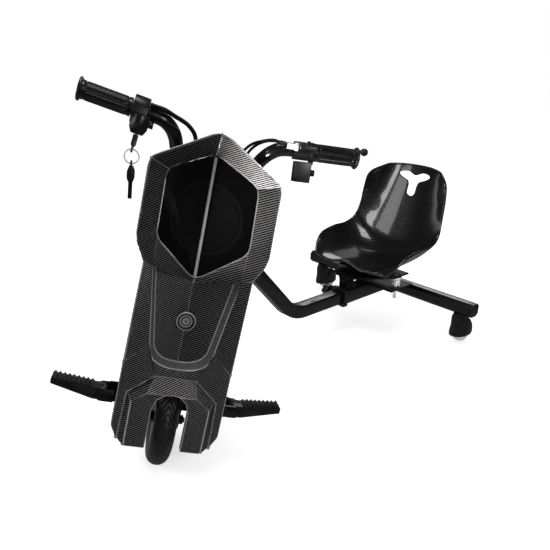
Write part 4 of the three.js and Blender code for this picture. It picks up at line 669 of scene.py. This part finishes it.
def makeTyre():
    around = circle(tyre["steps"])
    slant = np.linspace(-np.pi / 2, np.pi / 2, tyre["sides"])[None, :]
    away = np.abs(slant) / (np.pi / 2)
    phase = around * tyre["grooves"] / (2 * np.pi) + tyre["sweep"] * away ** tyre["curve"]
    groove = np.clip(1 - np.abs((phase % 1) - 0.5) / tyre["width"], 0, 1)
    fade = np.clip((tyre["end"] - away) / tyre["fade"], 0, 1) * np.clip(away / tyre["middle"], tyre["middleDepth"], 1)
    pressed = tyre["depth"] * (groove * groove * (3 - 2 * groove) * fade)
    radius = tyre["radius"] - tyre["crown"] + (tyre["crown"] - pressed) * np.cos(slant)
    across = (tyre["half"] - pressed * tyre["sideDepth"]) * np.sin(slant)
    radius = flanked([], radius, [tyre["rim"], tyre["rim"]])
    across = flanked([], across, [tyre["rimHalf"], -tyre["rimHalf"]])
    grid = np.stack([across, radius * np.cos(around), radius * np.sin(around)], -1)
    return gridMesh("tyreTread", headSpot(grid), wrapRows=True, wrapColumns=True)


dress(makeTyre(), "tyreRubber", "tyre", sharp=60)

# Handlebar, grips and cables
barBend = [
    [28, -28, 508], [46, -26, 510], [62, -9, 519], [74, 20, 540], [81, 44, 557], [91, 60, 570.5], [104, 66, 579.3],
    [120, 67, 583.3], [136, 67, 585],
]
halfBar = np.vstack([smoothLine(barBend, 10), barTurn(1, [[170, 67, 585], [210, 67, 585], [246, 67, 585]])])
wholeBar = np.vstack([halfBar[::-1] * [-1, 1, 1], halfBar])
dress(wirePiece("handlebarTube", wholeBar, gripBar["radius"], headSpot, 32), "satinPaint", "handlebar")

grip = {"radius": 16, "flange": 20, "flangeWidth": 5, "rounding": 1.5, "dish": (12, 11), "dishDepth": 1, "ribs": 26,
        "ribDepth": 0.9, "ribFlat": 1.6, "collar": 7, "ramp": 1.5, "seam": 1.2, "gap": 0.4, "start": {1: 168, -1: 162},
        "steps": 208, "rings": 60}


# Grip: a sleeve with lengthwise ribs between two smooth collars, a rounded flange and a closed end
def makeGrip(name, side):
    start, end = grip["start"][side], gripBar["end"] + grip["gap"]
    along = np.linspace(start, end, grip["rings"])
    angle = circle(grip["steps"])
    inside = np.minimum(along - start, end - along)[None, :] - grip["collar"]
    ribbed = np.clip(inside / grip["ramp"], 0, 1)
    wave = np.clip(np.cos(angle * grip["ribs"]) * grip["ribFlat"], -1, 1)
    radius = grip["radius"] - grip["ribDepth"] * ribbed * (0.5 - 0.5 * wave)
    radius = radius - grip["seam"] * np.exp(-(inside / grip["seam"]) ** 2)
    flange, rounding, tip = grip["flange"], grip["rounding"], end + grip["flangeWidth"]
    rim, floor = grip["dish"]
    deep = tip - grip["dishDepth"]
    tail = [(flange - rounding, end), (flange, end + rounding), (flange, tip - rounding), (flange - rounding, tip),
            (rim, tip), (floor, deep), (0, deep)]
    head = [(gripBar["radius"] + grip["gap"], start), (grip["radius"] - grip["dishDepth"], start)]
    radius, line = (flanked([spot[n] for spot in head], middle, [spot[n] for spot in tail])
                    for n, middle in enumerate((radius, along[None, :] + 0 * angle)))
    grid = np.stack([line, gripBar["reach"] + radius * np.cos(angle), gripBar["height"] + radius * np.sin(angle)], -1)
    return gridMesh(name, barSpot(side)(grid), wrapRows=True)


dress(makeGrip("throttleGripRubber", -1), "gripRubber", "throttle_grip")
dress(makeGrip("leftGripRubber", 1), "gripRubber", "left_grip")

cables = {
    "brake_cable": {"radius": 2.6, "route": [
        [90, 84, 592], [72, 52, 587], [56, 26, 576], [43, 3, 552], [34, -2.8, 524], [30, -2.8, 500], [29, -15, 478],
        [28, -20, 450], [28, -20, 400], [28, -19, 357], [28, -14, 348], [28, -7.6, 348]],
        "lead": (1, [[108.8, 98, 590], [102, 98, 590]])},
    "brake_switch_wire": {"radius": 2.6, "route": [
        [103, 44, 594], [84, 32, 590], [66, 14, 576], [53, -1, 550], [42, -2.8, 526], [37, -2.8, 500],
        [34, -18, 478], [30, -30, 450], [29, -31, 400], [30, -28, 342], [32, -16, 333], [32, -7.6, 333]],
        "lead": (1, [[128.8, 50, 593], [118, 51, 596]])},
    "throttle_cable": {"radius": 4, "route": [
        [-108, 82, 596], [-88, 64, 591], [-62, 40, 583], [-45, 17, 568], [-37, -4, 540], [-32, -2.8, 516],
        [-30, -2.8, 500], [-30, -14, 480], [-30, -21, 450], [-30, -22, 400], [-30, -21, 359], [-30, -15, 348],
        [-30, -7.6, 348]],
        "lead": (-1, [[132.8, 78, 599], [124, 79, 599]])},
}
for cableName, cable in cables.items():
    leadSide, lead = cable["lead"]
    route = np.vstack([barTurn(leadSide, lead), cable["route"]])
    piece = wirePiece(cableName + "Sheath", smoothLine(route, 8), cable["radius"], headSpot, 14)
    dress(piece, "cableSheath", cableName)
print("bar and cables made")

# Seat: the rows run from the front lip up the back, the columns across; both tables are smoothed
seat = {
    "wall": 6, "wrap": 2.6, "rise": 12, "scoop": 0.52, "scoopEnd": 4, "rows": 90, "columns": 97, "bead": 3.6,
    "beadShift": [0, 0.6, -2.4],
    "middle": [[646, 226], [664, 211], [701, 200], [768, 194], [825, 201], [869, 228], [895, 279], [923, 360],
               [942, 422], [958, 474]],
    "rim": [[142, 664, 215], [160, 686, 243], [169, 718, 266], [172, 776, 277], [170, 827, 279], [163, 864, 298],
            [156, 882, 339], [152, 892, 398], [141, 902, 441], [98, 936, 469]],
}
cutOut = {
    "outline": [[0, 379], [10, 381], [16, 390], [17, 412], [22, 423], [37, 429], [53, 437], [59, 444], [53, 450],
                [36, 453], [22, 452], [11, 447], [0, 444]],
    "depth": 90, "bead": 1.8, "beadShift": 3,
}


# The table's values at a station, by the same cubic as smoothLine but with even knots
def tableAt(table, station):
    table = extended(table)
    low = np.clip(np.floor(station).astype(int), 0, len(table) - 4)
    t = (station - low)[:, None]
    p0, p1, p2, p3 = (table[low + n] for n in range(4))
    return 0.5 * (2 * p1 + (p2 - p0) * t + (2 * p0 - 5 * p1 + 4 * p2 - p3) * t ** 2
                  + (3 * p1 - p0 - 3 * p2 + p3) * t ** 3)


# A point goes from the middle line to the rim by the share across raised to the wrap power
def seatSurface():
    station = np.linspace(0, len(seat["middle"]) - 1, seat["rows"])
    share = np.linspace(-1, 1, seat["columns"])[None, :]
    middle = tableAt(seat["middle"], station)
    rim = tableAt(seat["rim"], station)
    away = np.abs(share)
    blend = away ** seat["wrap"]
    front = np.clip(1 - station / seat["scoopEnd"], 0, 1)[:, None]
    scoop = seat["rise"] * front * np.sin(np.pi * np.minimum(1, away / seat["scoop"]) / 2) ** 2 * (1 - blend)
    across = share * rim[:, :1]
    place = middle[:, :1] + (rim[:, 1:2] - middle[:, :1]) * blend
    height = middle[:, 1:2] + (rim[:, 2:3] - middle[:, 1:2]) * blend - scoop
    return np.stack([across, place, height], -1)


def seatUv(grid):
    half = grid.shape[1] // 2
    step = np.linalg.norm(np.diff(grid, axis=1), axis=2) * mm
    u = np.concatenate([np.zeros((len(grid), 1)), np.cumsum(step, 1)], 1)
    u -= u[:, half][:, None]
    v = np.concatenate([[0], np.cumsum(np.linalg.norm(np.diff(grid[:, half], axis=0), axis=1))]) * mm
    return np.stack([u, v[:, None] + 0 * u], -1)


def applyModifiers(obj):
    bpy.context.view_layer.update()
    graph = bpy.context.evaluated_depsgraph_get()
    mesh = bpy.data.meshes.new_from_object(obj.evaluated_get(graph), preserve_all_data_layers=True, depsgraph=graph)
    obj.modifiers.clear()
    obj.data = mesh


def makeSeat():
    grid = seatSurface()
    shell = gridMesh("seatShell", rearSpot(grid), uv=seatUv(grid), outward=False)
    # the middle face should look up
    if shell.data.polygons[len(shell.data.polygons) // 2].normal.z < 0:
        shell.data.flip_normals()
    thicken(shell, seat["wall"])
    right = [[across, 0, height] for across, height in cutOut["outline"]]
    fine = smoothLine(right + [[-across, 0, height] for across, _, height in right[-2:0:-1]], 4)
    place, depth = seat["middle"][-2][0], cutOut["depth"]
    loop = [fine * [1, 0, 1] + [0, place + shift, 0] for shift in (-depth, depth)]
    centre = [np.repeat(ring.mean(0)[None], len(ring), 0) for ring in loop]
    cutter = gridMesh("seatCutter", rearSpot(np.stack([centre[0], loop[0], loop[1], centre[1]])), wrapColumns=True)
    cut = shell.modifiers.new("cut", "BOOLEAN")
    cut.operation, cut.object, cut.solver = "DIFFERENCE", cutter, "EXACT"
    applyModifiers(shell)
    bpy.data.objects.remove(cutter)
    return shell, grid, fine


seatShell, seatGrid, seatCut = makeSeat()


# How far back the seat lies at points of the outline: the four nearest grid points in front view give it
def backPlace(spots):
    flat = seatGrid[seatGrid.shape[0] // 2:].reshape(-1, 3)
    away = ((spots[:, None, [0, 2]] - flat[None, :, [0, 2]]) ** 2).sum(2)
    near = np.argsort(away, 1)[:, :4]
    weight = 1 / (np.take_along_axis(away, near, 1) + 0.01)
    return (flat[near, 1] * weight).sum(1) / weight.sum(1)


rimEdge = np.vstack([seatGrid[:, 0], seatGrid[-1, 1:], seatGrid[::-1, -1][1:], seatGrid[0, ::-1][1:-1]])
rimLine = smoothLine(rimEdge, 1)[::2] + np.array(seat["beadShift"])
rimBead = wirePiece("seatBead", rimLine, seat["bead"], rearSpot, 12, True, (0.05, 0.8, 0.6))
cutEdge = seatCut.copy()
cutEdge[:, 1] = backPlace(cutEdge) + cutOut["beadShift"]
cutBead = wirePiece("cutBead", cutEdge[:-1], cutOut["bead"], rearSpot, 10, True, (0.02, 0.99, 0.1))
dress(seatShell, "carbonSeat", "bucket_seat", sharp=40)
dress(rimBead, "carbonSeat", body="seat")
dress(cutBead, "carbonSeat", body="seat")
print("seat made")

# Springs: one wire whose turns close up at both ends
spring = {"across": 100, "place": 768, "radius": 13, "wire": 1.8, "coils": 2.5, "ends": 0.75, "gap": 0.8,
          "low": 147.6, "high": 169.4, "steps": 28}


def makeSpring(name, side):
    turns = spring["coils"] + spring["ends"] * 2
    done = np.linspace(0, turns, int(turns * spring["steps"]))
    rise = spring["wire"] * 2 + spring["gap"]
    ends = np.minimum(np.minimum(done, turns - done) / spring["ends"], 1)
    middle = np.clip((done - spring["ends"]) / spring["coils"], 0, 1) * (spring["high"] - spring["low"] - rise * 2)
    lift = np.where(done < turns / 2, rise * ends, rise * (2 - ends))
    radius = spring["radius"] - spring["wire"]
    line = np.stack([side * spring["across"] + radius * np.cos(done * 2 * np.pi),
                     spring["place"] + radius * np.sin(done * 2 * np.pi), spring["low"] + middle + lift], -1)
    return wirePiece(name, line, spring["wire"], rearSpot, 12, side=(0, 0, 1))


dress(makeSpring("rightSpringCoil", -1), "zincPlate", "right_seat_spring")
dress(makeSpring("leftSpringCoil", 1), "zincPlate", "left_seat_spring")

# Caster hood: a round dome over the wheel, with the neck up to the crossbar and the axle through it
hood = {"across": 282, "stem": 845, "centre": (865, 34), "outer": (28, 45, 45), "wall": 3, "cut": 26, "rings": 16,
        "steps": 48, "neck": [(0, None), (21, None), (21, 82), (16, 96.6), (6, 96.6), (6, 122), (0, 122)],
        "axle": (869, 32), "pin": [(0, -28.4), (4, -28.4), (4, 28.4), (0, 28.4)], "pinSteps": 20}


def makeHood(name, side):
    angle = circle(hood["steps"])
    centre = np.array([side * hood["across"], *hood["centre"]])
    outer = np.array(hood["outer"], float)
    sheets = []
    for radii in (outer, outer - hood["wall"]):
        low = math.asin((centre[2] - hood["cut"]) / radii[2])
        tilt = np.linspace(-low, np.pi / 2, hood["rings"])[None, :]
        ring = np.stack([np.cos(angle) * np.cos(tilt), np.sin(angle) * np.cos(tilt), np.sin(tilt) + 0 * angle], -1)
        sheets.append(centre + ring * radii)
    dome = gridMesh(name + "Dome", rearSpot(np.concatenate([sheets[0][:, ::-1], sheets[1]], 1)), wrapRows=True)
    columns = []
    for radius, height in hood["neck"]:
        ring = [side * hood["across"] + radius * np.cos(angle), hood["stem"] + radius * np.sin(angle), 0 * angle]
        spots = np.concatenate(ring, 1)
        if height is None:
            # the neck's foot ends inside the dome's wall
            flat = (spots[:, :2] - centre[:2]) / outer[:2]
            height = centre[2] + outer[2] * np.sqrt(1 - (flat ** 2).sum(1)) - hood["wall"] / 2
        spots[:, 2] = height
        columns.append(spots)
    neck = gridMesh(name + "Neck", rearSpot(np.stack(columns, 1)), wrapRows=True)
    angle = circle(hood["pinSteps"])
    radius, along = np.array(hood["pin"]).T
    pinGrid = np.stack([along + 0 * angle, radius * np.cos(angle), radius * np.sin(angle)], -1)
    pinGrid = pinGrid + np.array([side * hood["across"], *hood["axle"]], float)
    pin = gridMesh(name + "Pin", rearSpot(pinGrid), wrapRows=True)
    return joined(name, [dome, neck, pin])


dress(makeHood("rightHoodDome", -1), "blackPlastic", "right_caster_hood")
dress(makeHood("leftHoodDome", 1), "blackPlastic", "left_caster_hood")

# Every other node: its own solid with rounded edges, as (edge width, finish); a star stands for right, then left
softNodes = {
    "hub_motor": (1.5, "satinPaint"), "front_axle": (0.8, "satinPaint"), "*_axle_nut": (1, "satinPaint"),
    "fork": (1.5, "satinPaint"), "chassis_column": (2, "satinPaint"), "steerer": (1, "satinPaint"),
    "lower_bearing": (0.6, "zincPlate"), "upper_bearing": (0.6, "zincPlate"),
    "headlamp": (1.5, "greyPlastic"), "badge_boss": (0.8, "ringedBoss"), "rear_cover": (3, "blackPlastic"),
    "battery_pack": (3, "blackPlastic"), "motor_controller": (2, "greyPlastic"), "handlebar_clamp": (2.5, "satinPaint"),
    "throttle_housing": (2.5, "blackPlastic"), "ignition_lock": (1.2, "blackPlastic"),
    "ignition_key": (0.5, "blackPlastic"), "key_ring": (0, "zincPlate"), "spare_key": (1.2, "blackPlastic"),
    "mode_button": (1, "blackPlastic"), "brake_lever_bracket": (2, "blackPlastic"), "brake_lever": (1.5, "satinPaint"),
    "cable_adjuster": (0.8, "zincPlate"), "switch_box": (3, "blackPlastic"), "horn_button": (1, "blackPlastic"),
    "*_peg_bracket": (1.5, "satinPaint"), "*_foot_peg": (1.2, "blackPlastic"),
    "neck_tube": (1.5, "satinPaint"), "rear_sleeve": (1.5, "satinPaint"), "clamp_knob": (2, "blackPlastic"),
    "crossbar": (2, "satinPaint"), "seat_base_plate": (1.2, "mattePaint"), "seat_hinge_post": (0.8, "mattePaint"),
    "seat_plate": (1.2, "mattePaint"), "*_end_cap": (2, "blackPlastic"), "*_seat_bolt": (0.8, "zincPlate"),
    "*_caster_wheel": (1.5, "nylonWhite"),
}
for label, (width, look) in softNodes.items():
    for node in [label.replace("*", side) for side in ("right", "left")] if "*" in label else [label]:
        dress(softened(node, width), look, node)
print("frame pieces made")

# Floor, lamps and camera, in metres
floorLook = {"half": 30, "diffuse": (0.93, 0.93, 0.93, 1), "glow": 0.5, "mirrored": 0.45, "near": 0.5,
             "far": 1.3, "beyond": 0.05}
worldLook = {"light": 0.55, "low": 0.0, "high": 0.1, "dark": 0.05}


def makeFloor():
    half = floorLook["half"]
    mesh = bpy.data.meshes.new("floor")
    mesh.from_pydata([(-half, -half, 0), (half, -half, 0), (half, half, 0), (-half, half, 0)], [], [(0, 1, 2, 3)])
    floor = newObject("floor", mesh)
    material = bpy.data.materials.new("paleFloor")
    tree = clearTree(material)
    path = addNode(tree, "ShaderNodeLightPath").outputs
    # a mirror sees the lit floor round the object and the dark room beyond it
    place = addNode(tree, "ShaderNodeTexCoord").outputs["Object"]
    away = addNode(tree, "ShaderNodeVectorMath", {"operation": "LENGTH"}, {0: place}).outputs[1]
    near = rangeNode(tree, away, floorLook["near"], floorLook["far"], 1.0, floorLook["beyond"], smooth=True)
    mirrored = mathNode(tree, "MULTIPLY", mathNode(tree, "MULTIPLY", path["Is Glossy Ray"], near),
                        floorLook["mirrored"])
    seen = mathNode(tree, "MAXIMUM", path["Is Camera Ray"], path["Is Transmission Ray"])
    glow = mathNode(tree, "MULTIPLY", mathNode(tree, "MAXIMUM", seen, mirrored), floorLook["glow"])
    matte = addNode(tree, "ShaderNodeBsdfDiffuse", None, {"Color": floorLook["diffuse"]}).outputs[0]
    light = addNode(tree, "ShaderNodeEmission", None, {"Strength": glow}).outputs[0]
    lit = addNode(tree, "ShaderNodeAddShader", None, {0: matte, 1: light}).outputs[0]
    both = addNode(tree, "ShaderNodeMixShader", None, {0: path["Is Glossy Ray"], 1: lit, 2: light}).outputs[0]
    addNode(tree, "ShaderNodeOutputMaterial", None, {0: both})
    floor.data.materials.append(material)


def makeWorld():
    world = bpy.data.worlds.new("studio")
    scene.world = world
    tree = clearTree(world)
    path = addNode(tree, "ShaderNodeLightPath").outputs
    seen = mathNode(tree, "MAXIMUM", path["Is Camera Ray"], path["Is Glossy Ray"])
    seen = mathNode(tree, "MAXIMUM", seen, path["Is Transmission Ray"])
    # the backdrop is white low down; a mirror sees the darker ceiling above it, and the camera sees only white
    way = splitVector(tree, addNode(tree, "ShaderNodeTexCoord").outputs["Generated"])
    ceiling = rangeNode(tree, way[2], worldLook["low"], worldLook["high"], 1.0, worldLook["dark"], smooth=True)
    shown = mathNode(tree, "MAXIMUM", ceiling, path["Is Camera Ray"])
    strength = rangeNode(tree, seen, toLow=worldLook["light"], toHigh=shown)
    sky = addNode(tree, "ShaderNodeBackground", None, {"Color": (1, 1, 1, 1), "Strength": strength})
    addNode(tree, "ShaderNodeOutputWorld", None, {0: sky.outputs[0]})


# The last two are narrow: one for the fairing's upper right slope, one for the bright springs under the seat
lampLooks = {
    "overhead": {"place": (0.3, -0.3, 2.6), "target": (0, 0, 0.3), "size": (1.0, 1.0), "power": 16},
    "softboxBehind": {"place": (-1.3, 2.4, 1.5), "target": (0, 0.3, 0.2), "size": (1.6, 1.3), "power": 16},
    "softboxFront": {"place": (-0.38, -2.0, 1.3), "target": (0, 0.5, 0.4), "size": (0.4, 0.5), "power": 4.5},
    "softboxSide": {"place": (-1.25, -2.0, 1.2), "target": (0, 0.5, 0.4), "size": (0.8, 0.6), "power": 4},
    "softboxRight": {"place": (1.9, -0.65, 1.25), "target": (0.2, -0.42, 0.2), "size": (0.5, 0.5), "power": 8},
    "slopeLamp": {"place": (0.3, -1.32, 0.12), "target": (0.25, -0.25, 0.595), "cone": 11, "blend": 0.8,
                  "radius": 0.06, "power": 200},
    "springLamp": {"place": (1.25, 0.0, 0.27), "target": (0.0586, 0.436, 0.158), "cone": 5, "blend": 0.8,
                   "radius": 0.03, "power": 40},
}


def addLamp(name, look):
    narrow = "cone" in look
    data = bpy.data.lights.new(name, "SPOT" if narrow else "AREA")
    data.energy = look["power"]
    if narrow:
        data.shadow_soft_size, data.spot_blend = look["radius"], look["blend"]
        data.spot_size = math.radians(look["cone"])
    else:
        data.shape = "RECTANGLE"
        data.size, data.size_y = look["size"]
    lamp = newObject(name, data)
    lamp.visible_camera = narrow
    lamp.location = look["place"]
    lamp.rotation_euler = (Vector(look["target"]) - Vector(look["place"])).to_track_quat("-Z", "Y").to_euler()


cameraLook = {"place": (1.0567, -0.9323, 0.7942), "azimuth": 49.106, "elevation": 24.176, "roll": 0.342, "lens": 38.0,
              "shift": (0.0084, 0.0683), "sensor": 36, "far": 100}


def addCamera(look):
    data = bpy.data.cameras.new("camera")
    data.sensor_width, data.lens, data.clip_end = look["sensor"], look["lens"], look["far"]
    data.shift_x, data.shift_y = look["shift"]
    scene.camera = newObject("camera", data)
    place = Matrix.Translation(look["place"])
    for degrees, axis in ((look["azimuth"], "Z"), (90 - look["elevation"], "X"), (look["roll"], "Z")):
        place = place @ Matrix.Rotation(math.radians(degrees), 4, axis)
    scene.camera.matrix_world = place


makeFloor()
makeWorld()
for lampName, lampLook in lampLooks.items():
    addLamp(lampName, lampLook)
addCamera(cameraLook)
scene.view_settings.view_transform = "Standard"
print("studio made")
